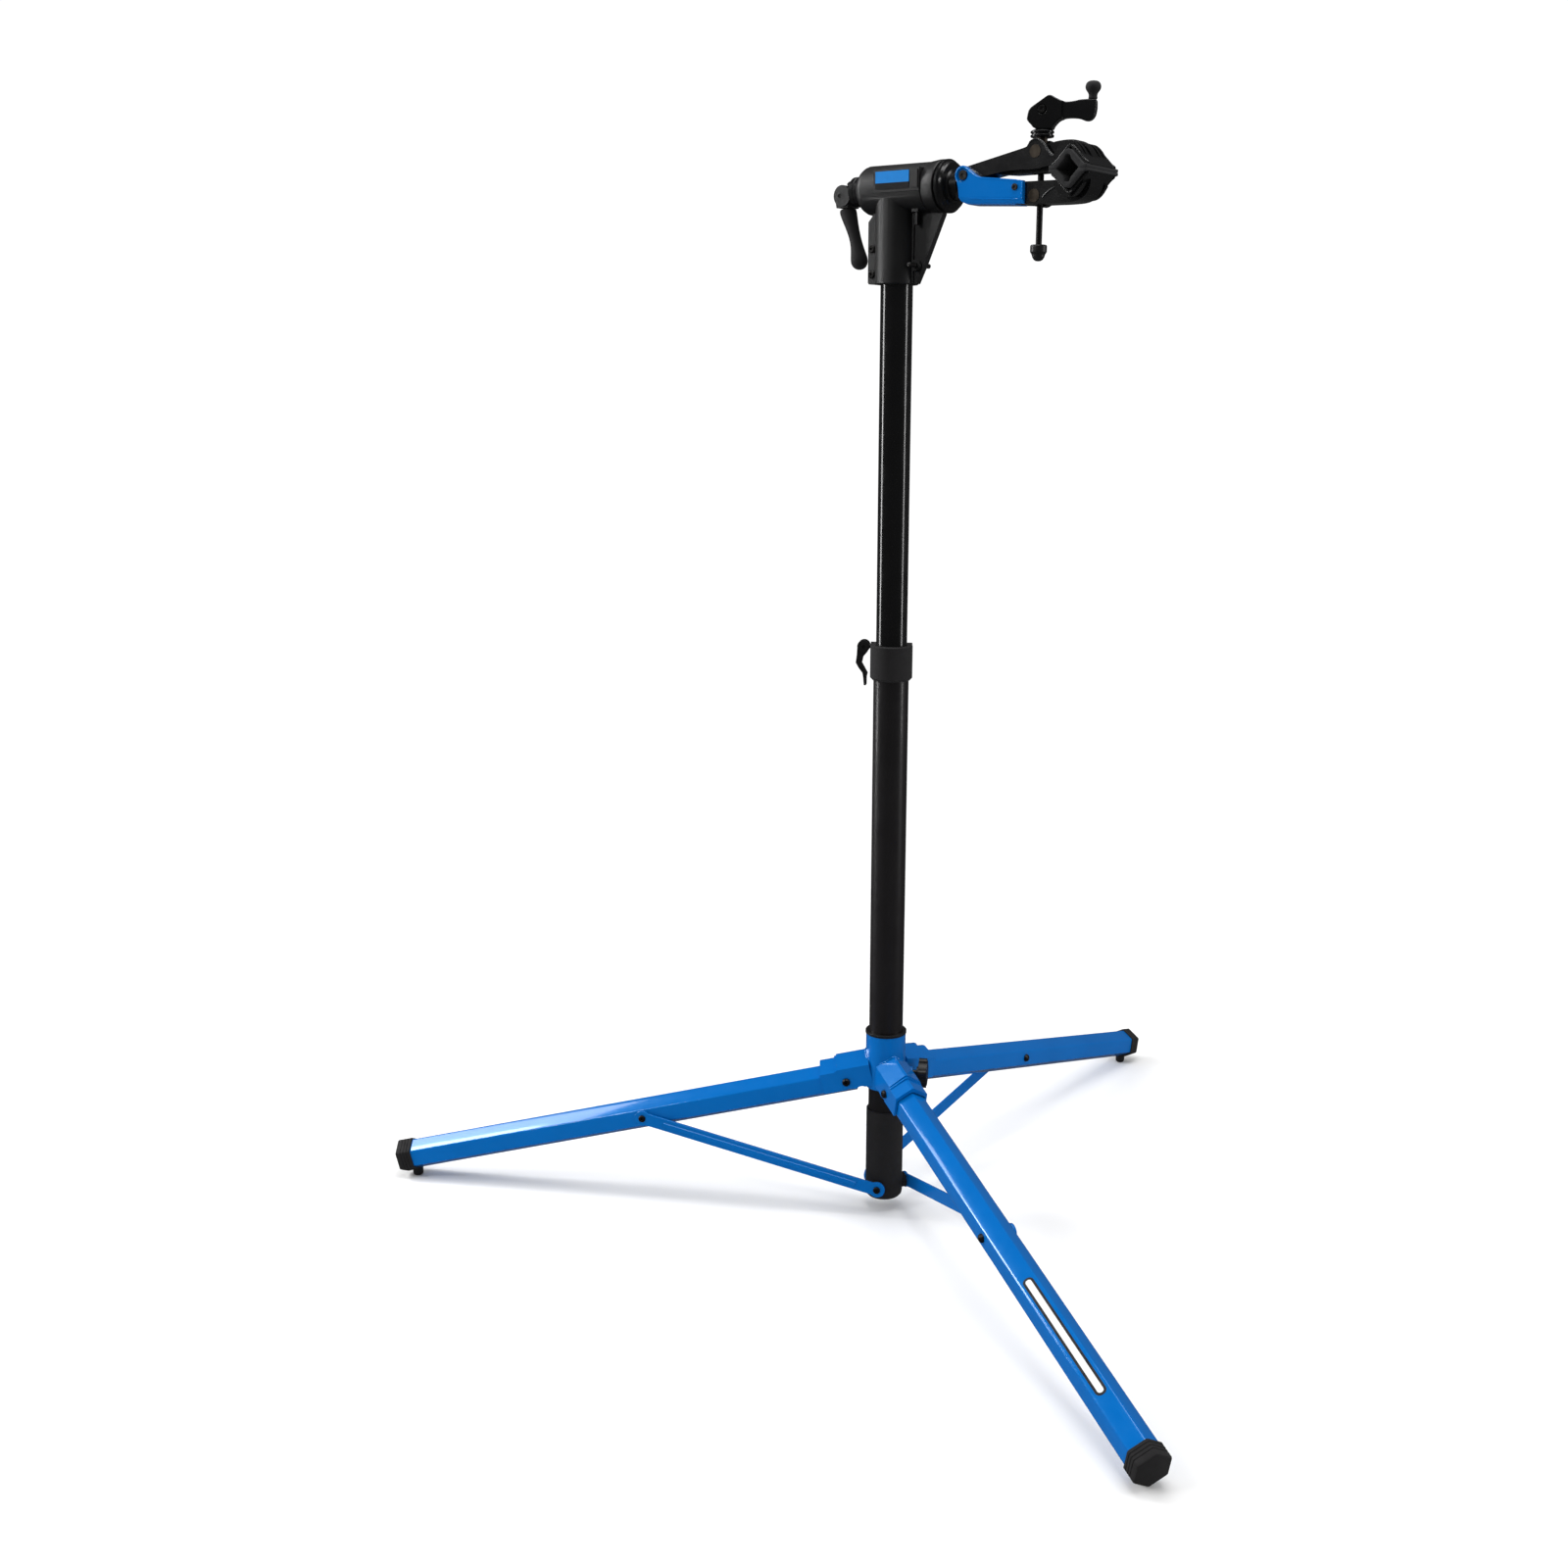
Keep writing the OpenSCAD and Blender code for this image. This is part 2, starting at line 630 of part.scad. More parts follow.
module tension_washer() color(steel) translate([0, 0, head_axis_z]) difference() {
    rotate([0, 90, 0]) rotate_extrude() polygon([
        [0, washer_back_x], [washer_lip_r - 1.5, washer_back_x], [washer_lip_r, washer_back_x + 2],
        [washer_lip_r, washer_step_x], [washer_r - 2, washer_step_x],
        [washer_r, washer_step_x + 2], [washer_r, -64], [washer_r - 0.6, -63.4],
        [washer_r - 0.6, -62.6], [washer_r, -62], [washer_r, washer_front_x], [0, washer_front_x]
    ]);
    x_rod(spindle_r + seat_gap, washer_step_x + 1, 0);
    translate([cam_pin_x, 0, cam_z - head_axis_z]) y_rod(pocket_r, -40, 40);
    block([washer_step_x - 10, -tail_half - 0.1, -5.1], [washer_step_x + 5, tail_half + 0.1, 5.1]);
}

module tension_pin() color(steel) translate([cam_pin_x, 0, cam_z])
    y_rod(3, -cam_half + 0.6, cam_half - 0.6);

module tension_cam() color(black) difference() {
    union() {
        translate([cam_x, 0, cam_z]) y_rod(cam_r, -cam_half, cam_half);
        plate(-cam_half + 2.5, cam_half - 2.5) polygon([
            [-97.5, 1484], [-72.4, 1484], [-76, grip_top_z + 0.05], [-95.5, grip_top_z + 0.05]
        ]);
    }
    block([-120, -cam_slot, cam_z - tail_r - 0.6], [-50, cam_slot, 1520]);
    translate([cam_pin_x, 0, cam_z]) y_rod(3 + run_gap, -40, 40);
}

// Handle of the tension lever: a waisted grip that curves in towards the mast
module tension_grip() color(rubber) {
    grip = [
        [-84, 1466, 12.6, 11.6], [-77.6, 1449, 9.4, 9.2], [-71.3, 1431, 8.2, 8.2],
        [-66.8, 1414, 10.3, 10.3], [-64.2, 1403, 12.2, 12.2]
    ];
    intersection() {
        union() for (i = [0 : len(grip) - 2]) hull() for (s = [grip[i], grip[i + 1]])
            translate([s[0], 0, s[1]]) scale([s[2] / s[3], 1, 1]) sphere(r = s[3], $fn = 32);
        block([-120, -30, 1380], [-20, 30, grip_top_z]);
    }
}

// ---------------------------------------------------------------- clamp arms and jaws

module lower_jaw_arm() color(blue) difference() {
    union() {
        translate([arm_pivot[0], 0, arm_pivot[1]]) y_rod(arm_ear_r, -blue_half, blue_half);
        intersection() {
            plate(-blue_half, blue_half) polygon([
                [109.5, 1496.5], [127, 1510.8], [145, 1499], [blue_front_x, 1491.5],
                [blue_front_x, 1462.2], [124, 1466.6], [116.5, 1470.5], [113.5, 1476],
                [blue_back_x, 1488]
            ]);
            // rounded underside, falling slightly towards the jaws
            translate([blue_front_x, 0, blue_floor_z + blue_edge_r]) rotate([0, blue_slope, 0]) {
                for (s = [-1, 1]) translate([0, s * (blue_half - blue_edge_r + 0.2), 0])
                    x_rod(blue_edge_r, -110, 5);
                block([-110, blue_edge_r - blue_half, -blue_edge_r], [5, blue_half - blue_edge_r, 0]);
                block([-110, -blue_half - 1, 0], [5, blue_half + 1, 60]);
            }
        }
    }
    // channel between the two side walls
    plate(-blue_half + blue_wall, blue_half - blue_wall) polygon([
        [105, 1474.1], [140, 1473], [196, 1470.5],
        [196, blue_floor_z - 5], [240, blue_floor_z - 5], [240, 1540], [105, 1540]
    ]);
    translate([arm_pivot[0], 0, arm_pivot[1]]) {
        y_rod(5 + seat_gap, -40, 40);
        y_rod(8.8, -40, -blue_half + 2.6);
        y_rod(8.8, blue_half - 2.6, 40);
    }
    translate([199.5, 0, 1484]) y_rod(3 + seat_gap, -40, 40);
}

module arm_pivot_pin() color(steel) translate([arm_pivot[0], 0, arm_pivot[1]]) {
    y_rod(5, -blue_half + 2.5, blue_half - 2.5);
    for (s = [0, 180]) rotate([0, 0, s]) translate([0, -blue_half + 2.5, 0]) difference() {
        y_rod(6.2, -2, 0);
        translate([0, -3, 0]) rotate([-90, 0, 0]) cylinder(r = 2.8, h = 2.2, $fn = 6);
    }
}

// Square standing on its corner about the middle of the tube opening
module diamond(half_diagonal) translate([jaw_x, jaw_z]) rotate(45)
    square(half_diagonal * sqrt(2), center = true);

// The half plane above (side = 1) or below (side = -1) the split between the jaws
module jaw_half(side) translate([jaw_x - 100, side > 0 ? jaw_z + split_gap : jaw_z - split_gap - 100])
    square([200, 100]);

// Section of a pad: a V with steps for small tubes, and a lip along each edge
module pad_section(side) intersection() {
    difference() {
        union() {
            diamond(pad_out);
            translate([jaw_x - pad_out - 1, jaw_z - 4.2]) square([2 * pad_out + 2, 8.4]);
        }
        diamond(pad_in);
        translate([jaw_x - 4.2, jaw_z - 16.4]) square([8.4, 32.8]);
    }
    jaw_half(side);
}

// Cradle behind a pad, clear of the pad and its lips
module cradle_section(side) intersection() {
    difference() {
        diamond(cradle_out);
        diamond(pad_out + 0.05);
        translate([jaw_x - 50, jaw_z - 4.25]) square([100, 8.5]);
    }
    jaw_half(side);
}

module lower_jaw_pad() color(rubber) plate(-pad_width / 2, pad_width / 2) pad_section(-1);

module upper_jaw_pad() color(rubber) plate(-pad_width / 2, pad_width / 2) pad_section(1);

module lower_jaw() color(black) difference() {
    union() {
        plate(-cradle_half, cradle_half) cradle_section(-1);
        difference() {
            union() {
                plate(-inner_half, inner_half) polygon(concat(
                    [[196.2, 1464], [blue_front_x, 1463]],
                    smooth_line([
                        [244, 1462.7], [266, 1462.4], [286, 1463.6], [297, 1468.6], [304, 1477.4], [306, 1486]
                    ], 4),
                    [[306, 1490], [258, 1490], [196.2, 1490.8]]
                ));
                translate([rod_x, 0, trunnion_low_z]) y_rod(12.6, -inner_half, inner_half);
                for (y = [-27, 27]) translate([0, y, 0]) plate(-rib_half, rib_half)
                    polygon(concat([[300, 1490], [272, 1490]], smooth_line([
                        [260, 1486.4], [266, 1475.6], [275, 1468.4], [287, 1467.2], [297, 1472.4],
                        [305, 1483]
                    ], 4)));
            }
            plate(-50, 50) diamond(pad_out + 0.05);
            plate(-50, 50) translate([jaw_x - 50, jaw_z - 4.25]) square([100, 20]);
        }
    }
    translate([rod_x, 0, trunnion_low_z]) y_rod(trunnion_r + run_gap, -40, 40);
    block([rod_x - 9, -4.6, 1440], [rod_x + 9, 4.6, 1500]);
    translate([199.5, 0, 1484]) y_rod(3 + seat_gap, -40, 40);
}

module lower_jaw_screw() color(steel) translate([199.5, 0, 1484]) {
    y_rod(3, -blue_half - 0.4, blue_half + 0.4);
    for (s = [0, 180]) rotate([0, 0, s]) translate([0, -blue_half - 0.02, 0]) difference() {
        y_rod(4.2, -1.8, 0);
        translate([0, -2.8, 0]) rotate([-90, 0, 0]) cylinder(r = 1.9, h = 2, $fn = 6);
    }
}

module upper_jaw_arm() color(black) difference() {
    union() {
        plate(-cradle_half, cradle_half) cradle_section(1);
        difference() {
            union() {
                translate([arm_pivot[0], 0, arm_pivot[1]]) y_rod(10.5, -inner_half, inner_half);
                plate(-inner_half, inner_half) polygon(concat(
                    [[115, 1512.6], [143, 1518.2], [207, 1531]],
                    smooth_line([
                        [231.1, 1538.3], [237.4, 1533.6], [242.4, 1526.6], [249, 1520.4], [257, 1517.2],
                        [266, 1516.6]
                    ], 4),
                    [[275, 1515], [275, 1506]],
                    smooth_line([[244, 1507.5], [222, 1504.8], [187, 1505], [150, 1500.4], [120, 1493]], 4)
                ));
                plate(-8, 8) polygon([
                    [160, 1503], [187, 1500.4], [252, 1500.4], [262, 1506], [187, 1515]
                ]);
                translate([rod_x, 0, trunnion_top_z]) y_rod(14.2, -inner_half, inner_half);
                plate(-8, 8) polygon(concat([[300, 1505], [232, 1512]], smooth_line([
                    [232, 1530], [243, 1535.5], [262, 1537.6], [279, 1536.4], [291, 1530.2],
                    [300, 1519.4], [306, 1508.4]
                ], 4)));
                for (y = [-27, -17, 17, 27]) translate([0, y, 0]) plate(-rib_half, rib_half)
                    polygon(concat([[300, 1505], [272, 1510]], smooth_line([
                        [258, 1514.4], [263.6, 1524.6], [272, 1532.2], [283, 1534], [293, 1527.6],
                        [301, 1516.8], [306.2, 1507.4]
                    ], 4)));
            }
            plate(-50, 50) diamond(pad_out + 0.05);
            plate(-50, 50) translate([jaw_x - 30, jaw_z - 16]) square([100, 20.25]);
        }
    }
    translate([rod_x, 0, trunnion_top_z]) y_rod(trunnion_r + run_gap, -40, 40);
    block([rod_x - 11.5, -7.2, 1480], [rod_x + 11, 7.2, 1560]);
    translate([arm_pivot[0], 0, arm_pivot[1]]) y_rod(5 + run_gap, -40, 40);
}

// ---------------------------------------------------------------- screw and crank

module upper_trunnion() color(steel) translate([rod_x, 0, 0]) difference() {
    union() {
        translate([0, 0, trunnion_top_z]) y_rod(trunnion_r, -inner_half - 0.6, inner_half + 0.6);
        translate([0, 0, trunnion_top_z]) cylinder(r = stub_r, h = stub_top_z - trunnion_top_z);
    }
    translate([0, 0, 1480]) cylinder(r = rod_r + 1, h = 100);
}

module lower_trunnion() color(steel) translate([rod_x, 0, trunnion_low_z]) difference() {
    y_rod(trunnion_r, -inner_half - 0.6, inner_half + 0.6);
    translate([0, 0, -20]) cylinder(r = rod_r + run_gap, h = 40);
}

module thrust_washer() color(black) translate([rod_x, 0, thrust_bottom_z]) difference() {
    rotate_extrude() polygon([
        [0, 0], [14.2, 0], [15, 0.8], [15, 2.6], [13.4, 3.2], [13.4, 4.6], [15, 5.2],
        [15, 7.2], [12, thrust_top_z - thrust_bottom_z], [0, thrust_top_z - thrust_bottom_z]
    ]);
    translate([0, 0, -1]) cylinder(r = rod_r + run_gap, h = 20);
}

module clamp_rod() color(steel) {
    translate([rod_x, 0, rod_bottom_z]) cylinder(r = rod_r, h = crank_pin_z - 8 - rod_bottom_z);
    on_crank() difference() {
        union() {
            y_rod(8, -crank_slot + 0.2, crank_slot - 0.2);
            block([-4, -crank_slot + 0.2, -14], [4, crank_slot - 0.2, 0]);
        }
        y_rod(3 + seat_gap, -20, 20);
    }
}

module rod_end_nut() color(black) translate([rod_x, 0, 0]) difference() {
    translate([0, 0, 1394]) rotate_extrude() polygon([
        [0, 0], [3.5, 0.5], [6, 2.2], [7.8, 5], [8.8, 8.5], [10.8, 11.5], [10.8, 19], [9.6, 20.4],
        [0, 20.4]
    ]);
    translate([0, 0, rod_bottom_z - 0.1]) cylinder(r = rod_r + seat_gap, h = 40);
}

module crank_pin() color(steel) on_crank() {
    y_rod(3, -crank_half + 1, crank_half - 1);
    for (s = [0, 180]) rotate([0, 0, s]) translate([0, -crank_half + 1, 0]) difference() {
        y_rod(4.8, -1.6, 0);
        translate([0, -2.8, 0]) rotate([-90, 0, 0]) cylinder(r = 2.2, h = 2.2, $fn = 6);
    }
}

// Side outline of the crank: a cam about the pin, a waist and a rounded end
module crank_outline() polygon(concat(
    [for (a = [-150 : 5 : -125]) crank_cam_r * 0.94 * [cos(a), sin(a)]],
    [for (a = [-120 : 5 : -90]) crank_cam_r * [cos(a), sin(a)]],
    [[13.5, -crank_cam_r]],
    smooth_line([
        [15, -20], [20.4, -14.4], [26, -11.8], [33.4, -10.8], [41, -11],
        [47.7, -12], [54, -14.4], [59, -14.8], [63.5, -12.8], [66.8, -7.8], [68.2, 0]
    ], 4),
    [[68, 8.6], [66.8, 10.1]],
    smooth_line([
        [56, 10.3], [48, 10], [40, 8.6], [32, 8], [26, 9], [18, 12.6],
        [12, 15.8], [8.5, 16.4], [5, 15], [-4.5, 8.9], [-14, 2.6], [-17.4, -1.5]
    ], 4)
));

module crank_arm() color(black) on_crank() difference() {
    plate(-crank_half, crank_half) crank_outline();
    block([26, -20, -30], [90, -7, 40]);
    block([26, 7, -30], [90, 20, 40]);
    y_rod(3 + run_gap, -20, 20);
    y_rod(5.2, -20, -crank_half + 2.8);
    y_rod(5.2, crank_half - 2.8, 20);
    block([-40, -crank_slot, -40], [8.4, crank_slot, 8.4]);
    translate([knob_u, 0, 0]) cylinder(r = 2.5 + seat_gap, h = 20);
}

module crank_knob_axle() color(steel) on_crank() translate([knob_u, 0, 0.1]) {
    cylinder(r = 2.5, h = 25);
    translate([0, 0, 24.5]) cylinder(r = 4, h = 2);
}

module crank_knob() color(rubber) on_crank() translate([knob_u, 0, 10.6]) difference() {
    rotate_extrude() polygon([
        [0, 0], [5.2, 0], [5.6, 1], [5.5, 4], [6.2, 7], [8.4, 10], [9.7, 13], [9.6, 16],
        [8.2, 19], [5.6, 20.8], [2.6, 21.4], [0, 21.5]
    ]);
    translate([0, 0, -1]) cylinder(r = 2.5 + run_gap, h = 15.2);
    translate([0, 0, 13.9]) cylinder(r = 4 + run_gap, h = 2.4);
}

// ---------------------------------------------------------------- the sub-parts

mast_lower_tube();
mast_foot_sleeve();
strut_lower_bolts();
height_collar();
collar_liner();
collar_skewer();
collar_lever_pin();
collar_lever();
leg_hub();
hub_bushing_upper();
hub_bushing_lower();
leg_pivot_bolts();
hub_knob();
hub_lock_stud();
leg_tube_rear();
leg_tube_left();
leg_tube_front();
foot_cap_rear();
foot_cap_left();
foot_cap_front();
leg_strut_bolt_rear();
leg_strut_bolt_left();
leg_strut_bolt_front();
strut_rear();
strut_left();
strut_front();
strut_upper_bolt_rear();
strut_upper_bolt_left();
strut_upper_bolt_front();
upper_tube_glide();
mast_upper_tube();
head_casting();
socket_bolts();
head_label();
accessory_pin();
spindle_bush_front();
spindle_bush_rear();
spindle_shaft();
spindle_flange();
tension_washer();
tension_pin();
tension_cam();
tension_grip();
lower_jaw_arm();
lower_jaw();
lower_jaw_pad();
lower_jaw_screw();
arm_pivot_pin();
upper_jaw_arm();
upper_jaw_pad();
upper_trunnion();
lower_trunnion();
thrust_washer();
clamp_rod();
rod_end_nut();
crank_pin();
crank_arm();
crank_knob_axle();
crank_knob();
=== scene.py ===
"""Folding bike repair stand: looks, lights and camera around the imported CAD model.

+Z is up, the origin is on the floor under the mast, and +X runs along the clamp arm. Shapes are
given in millimetres and degrees, and everything in materials, floor, lamps and camera in metres.
"""

import math
import random

import bpy
from mathutils import Matrix, Vector


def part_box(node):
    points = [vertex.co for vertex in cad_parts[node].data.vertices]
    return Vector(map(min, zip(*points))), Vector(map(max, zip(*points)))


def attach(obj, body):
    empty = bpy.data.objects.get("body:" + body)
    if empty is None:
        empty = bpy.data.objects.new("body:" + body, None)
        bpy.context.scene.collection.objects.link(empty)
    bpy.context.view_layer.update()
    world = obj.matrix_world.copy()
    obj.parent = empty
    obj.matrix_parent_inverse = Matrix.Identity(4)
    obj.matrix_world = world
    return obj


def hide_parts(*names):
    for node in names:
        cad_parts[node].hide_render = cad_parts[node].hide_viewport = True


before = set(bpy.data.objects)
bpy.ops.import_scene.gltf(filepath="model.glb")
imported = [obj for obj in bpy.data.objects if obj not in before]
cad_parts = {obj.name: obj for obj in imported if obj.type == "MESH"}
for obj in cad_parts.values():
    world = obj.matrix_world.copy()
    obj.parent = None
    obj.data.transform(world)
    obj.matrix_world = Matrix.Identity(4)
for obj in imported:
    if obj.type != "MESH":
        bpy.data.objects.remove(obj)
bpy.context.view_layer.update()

MM = 0.001

# Clamp
ROD_X = 224.0
CRANK_PIN_Z, CRANK_YAW = 1576.4, 20.0
KNOB_OUT, KNOB_UP = 62.6, 10.6
JAW_X, JAW_Z = 286.0, 1500.0
PAD_HALF = 40.0
PAD_MIDDLE_HALF = 9.0
SPLIT_GAP = 0.25
EAR_X, EAR_Z, EAR_R = 118.5, 1503.0, 10.4

# Legs and foot caps. Flats are widths across the hexagon, corners are radii
LEG_AZIMUTHS = {"rear": 90, "left": 210, "front": 330}
LEG_PIVOT_R, LEG_PIVOT_Z = 56.5, 212.0
LEG_START, LEG_LENGTH, LEG_SLOPE = -9.0, 742.0, 14.2
LEG_FLATS, LEG_WALL = 42.3, 2.5
LEG_CORNER, BORE_CORNER = 3.2, 1.2
CAP_FLATS, CAP_LENGTH, CAP_WALL, CAP_CORNER = 47.5, 25.0, 4.0, 3.6
CAP_SEAT = 0.1
NUB_BACK = 25.0

# Modifiers on the CAD nodes
BEVEL_STEPS, BEVEL_ANGLE = 3, 30.0
FLAT_ANGLE = 0.4
WELD_REACH = 2e-6  # metres

# Sockets of a colour Mix node, which has one set for each data type
MIX_FACTOR, MIX_FIRST, MIX_SECOND, MIX_RESULT = 0, 6, 7, 2

# Floor, in metres, and the world's strength for light, reflections and the view
FLOOR_RADIUS, FLOOR_SIDES, FLOOR_DROP = 6.0, 64, 0.0004
FADE_START, FADE_END = 0.85, 2.0
WORLD_LIGHT = 0.5
WORLD_MIRROR = 0.06
WORLD_SEEN = 1.05
WHITE = (1, 1, 1, 1)


# ------------------------------------------------------------------ materials


class Shader:
    """One material and the few node shapes that every finish here is made of."""

    def __init__(self, name):
        self.material = bpy.data.materials.new(name)
        self.material.use_nodes = True
        self.tree = self.material.node_tree
        self.bsdf = self.tree.nodes["Principled BSDF"]
        self.place = self.node("ShaderNodeTexCoord").outputs["Object"]

    def node(self, kind, **values):
        made = self.tree.nodes.new(kind)
        for key, value in values.items():
            setattr(made, key, value)
        return made

    def link(self, source, target):
        self.tree.links.new(source, target)

    def set(self, **values):
        for key, value in values.items():
            self.bsdf.inputs[key.replace("_", " ")].default_value = value

    def noise(self, scale, detail=3.0, rough=0.5, stretch=None):
        """Noise whose features are about 1 / scale metres across."""
        made = self.node("ShaderNodeTexNoise")
        made.inputs["Scale"].default_value = scale
        made.inputs["Detail"].default_value = detail
        made.inputs["Roughness"].default_value = rough
        place = self.place
        if stretch:
            mapping = self.node("ShaderNodeMapping")
            mapping.inputs["Scale"].default_value = stretch
            self.link(place, mapping.inputs["Vector"])
            place = mapping.outputs["Vector"]
        self.link(place, made.inputs["Vector"])
        return made.outputs["Fac"]

    def ranged(self, value, low, high, start=0.3, end=0.7):
        made = self.node("ShaderNodeMapRange")
        made.inputs["From Min"].default_value = start
        made.inputs["From Max"].default_value = end
        made.inputs["To Min"].default_value = low
        made.inputs["To Max"].default_value = high
        self.link(value, made.inputs["Value"])
        return made.outputs["Result"]

    def mixed(self, factor, first, second):
        made = self.node("ShaderNodeMix", data_type="RGBA")
        for socket, value in ((MIX_FIRST, first), (MIX_SECOND, second)):
            if isinstance(value, tuple):
                made.inputs[socket].default_value = (*value, 1)
            else:
                self.link(value, made.inputs[socket])
        self.link(factor, made.inputs[MIX_FACTOR])
        return made.outputs[MIX_RESULT]

    def bumps(self, layers):
        """Stacks (height, strength, depth in metres) into the surface's normal."""
        normal = None
        for height, strength, depth in layers:
            made = self.node("ShaderNodeBump")
            made.inputs["Strength"].default_value = strength
            made.inputs["Distance"].default_value = depth
            self.link(height, made.inputs["Height"])
            if normal:
                self.link(normal, made.inputs["Normal"])
            normal = made.outputs["Normal"]
        self.link(normal, self.bsdf.inputs["Normal"])

    def colour(self, source):
        self.link(source, self.bsdf.inputs["Base Color"])

    def roughness(self, source):
        self.link(source, self.bsdf.inputs["Roughness"])


def powder_coat(name, base, light, rough, coat, peel, tint=WHITE):
    """Gloss powder coat: slow colour drift, orange peel and a clear top layer."""
    s = Shader(name)
    s.set(Metallic=0.0, Coat_Weight=coat, Coat_Roughness=0.06, Specular_IOR_Level=0.5)
    s.set(Specular_Tint=tint)
    s.colour(s.mixed(s.ranged(s.noise(9, 4), 0, 1), base, light))
    s.roughness(s.ranged(s.noise(60, 5, 0.6), rough - 0.04, rough + 0.07))
    s.bumps([
        (s.noise(340, 2), peel, 0.0003),
        (s.noise(1300, 2), peel * 0.6, 0.0001),
    ])
    return s.material


def cast_finish(name, base, light, rough, grain, depth):
    """Wrinkle-textured paint over a casting, rubbed smoother in slow patches."""
    s = Shader(name)
    s.set(Metallic=0.0, Specular_IOR_Level=0.5)
    s.colour(s.mixed(s.ranged(s.noise(16, 5), 0, 1), base, light))
    s.roughness(s.ranged(s.noise(45, 6, 0.65), rough - 0.04, rough + 0.05))
    s.bumps([
        (s.noise(grain, 3, 0.6), 0.45, depth),
        (s.noise(grain * 2.7, 2), 0.3, depth * 0.4),
    ])
    return s.material


def moulded_plastic(name, base, light, rough, grain=1500, depth=0.00008):
    """Moulded nylon with a fine even grain."""
    s = Shader(name)
    s.set(Metallic=0.0, Specular_IOR_Level=0.45)
    s.colour(s.mixed(s.ranged(s.noise(30, 4), 0, 1), base, light))
    s.roughness(s.ranged(s.noise(80, 4), rough - 0.05, rough + 0.07))
    s.bumps([(s.noise(grain, 3), 0.5, depth)])
    return s.material


def rubber(name, base, light, rough=0.72):
    """Matt rubber, speckled and slightly dusty."""
    s = Shader(name)
    s.set(Metallic=0.0, Specular_IOR_Level=0.22, Sheen_Weight=0.03, Sheen_Roughness=0.6)
    speckle = s.ranged(s.noise(1400, 2), 0, 0.55, 0.52, 0.72)
    dust = s.ranged(s.noise(22, 5), 0, 0.4)
    worn = s.mixed(dust, base, light)
    s.colour(s.mixed(speckle, worn, light))
    s.roughness(s.ranged(s.noise(70, 5), rough - 0.08, rough + 0.08))
    s.bumps([(s.noise(900, 4, 0.6), 0.6, 0.00018)])
    return s.material


def dark_metal(name, base, light, rough, stretch=(1, 1, 1)):
    """Blackened steel, with fine machining lines across the stretched axis."""
    s = Shader(name)
    s.set(Metallic=0.85, Specular_IOR_Level=0.5)
    s.colour(s.mixed(s.ranged(s.noise(70, 5), 0, 1), base, light))
    s.roughness(s.ranged(s.noise(220, 4), rough - 0.07, rough + 0.1))
    s.bumps([(s.noise(700, 3, stretch=stretch), 0.25, 0.0001)])
    return s.material


def banded_label(name, black_share=0.36, edge=0.0002):
    """Plain printed label: blue over a black lower band, with the print's fine screen."""
    s = Shader(name)
    s.set(Coat_Weight=0.15, Coat_Roughness=0.2, Specular_IOR_Level=0.3)
    parts = s.node("ShaderNodeSeparateXYZ")
    s.link(s.place, parts.inputs[0])
    low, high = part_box("head_label")
    split = low.z + (high.z - low.z) * black_share
    band = s.ranged(parts.outputs["Z"], 0, 1, split - edge, split + edge)
    blue = s.mixed(s.ranged(s.noise(120, 3), 0, 1), (0.0, 0.17, 0.52), (0.002, 0.19, 0.57))
    s.colour(s.mixed(band, (0.004, 0.004, 0.005), blue))
    s.roughness(s.ranged(s.noise(300, 4), 0.3, 0.4))
    s.bumps([(s.noise(2500, 2), 0.2, 0.00003)])
    return s.material


BLUE = powder_coat(
    "blue_gloss", (0.0002, 0.118, 0.42), (0.0006, 0.13, 0.46), 0.16, 0.75, 0.05, (0.1, 0.5, 1.0, 1)
)
BLACK = powder_coat(
    "black_gloss", (0.002, 0.002, 0.0022), (0.003, 0.003, 0.0033), 0.17, 0.3, 0.04
)
SATIN = powder_coat(
    "black_satin", (0.006, 0.005, 0.0058), (0.009, 0.0075, 0.0085), 0.34, 0.15, 0.06
)
CAST = cast_finish(
    "black_cast", (0.0035, 0.0035, 0.004), (0.006, 0.006, 0.0065), 0.42, 1300, 0.00026
)
JAW = cast_finish(
    "black_jaw", (0.0025, 0.0025, 0.0028), (0.004, 0.004, 0.0045), 0.24, 900, 0.00005
)
PLASTIC = moulded_plastic(
    "black_plastic", (0.006, 0.006, 0.0065), (0.009, 0.009, 0.0095), 0.38
)
RUBBER = rubber("rubber", (0.009, 0.0085, 0.0092), (0.016, 0.015, 0.016))
PAD = rubber("pad_rubber", (0.013, 0.013, 0.014), (0.022, 0.022, 0.023), 0.78)
STEEL = dark_metal("dark_steel", (0.018, 0.018, 0.019), (0.04, 0.038, 0.036), 0.36)
ROD = dark_metal("rod_steel", (0.012, 0.012, 0.013), (0.03, 0.029, 0.028), 0.34, (1, 1, 6))
PIN = dark_metal("swivel_steel", (0.03, 0.024, 0.018), (0.06, 0.048, 0.036), 0.42)
LABEL = banded_label("label")
LABEL_WHITE = moulded_plastic(
    "label_white", (0.72, 0.72, 0.72), (0.8, 0.8, 0.8), 0.35, 900, 0.00002
)
LABEL_BLACK = moulded_plastic(
    "label_black", (0.006, 0.006, 0.007), (0.009, 0.009, 0.01), 0.3, 900, 0.00002
)


# ------------------------------------------------------------------ mesh tools


def linked(name, data):
    made = bpy.data.objects.new(name, data)
    bpy.context.scene.collection.objects.link(made)
    return made


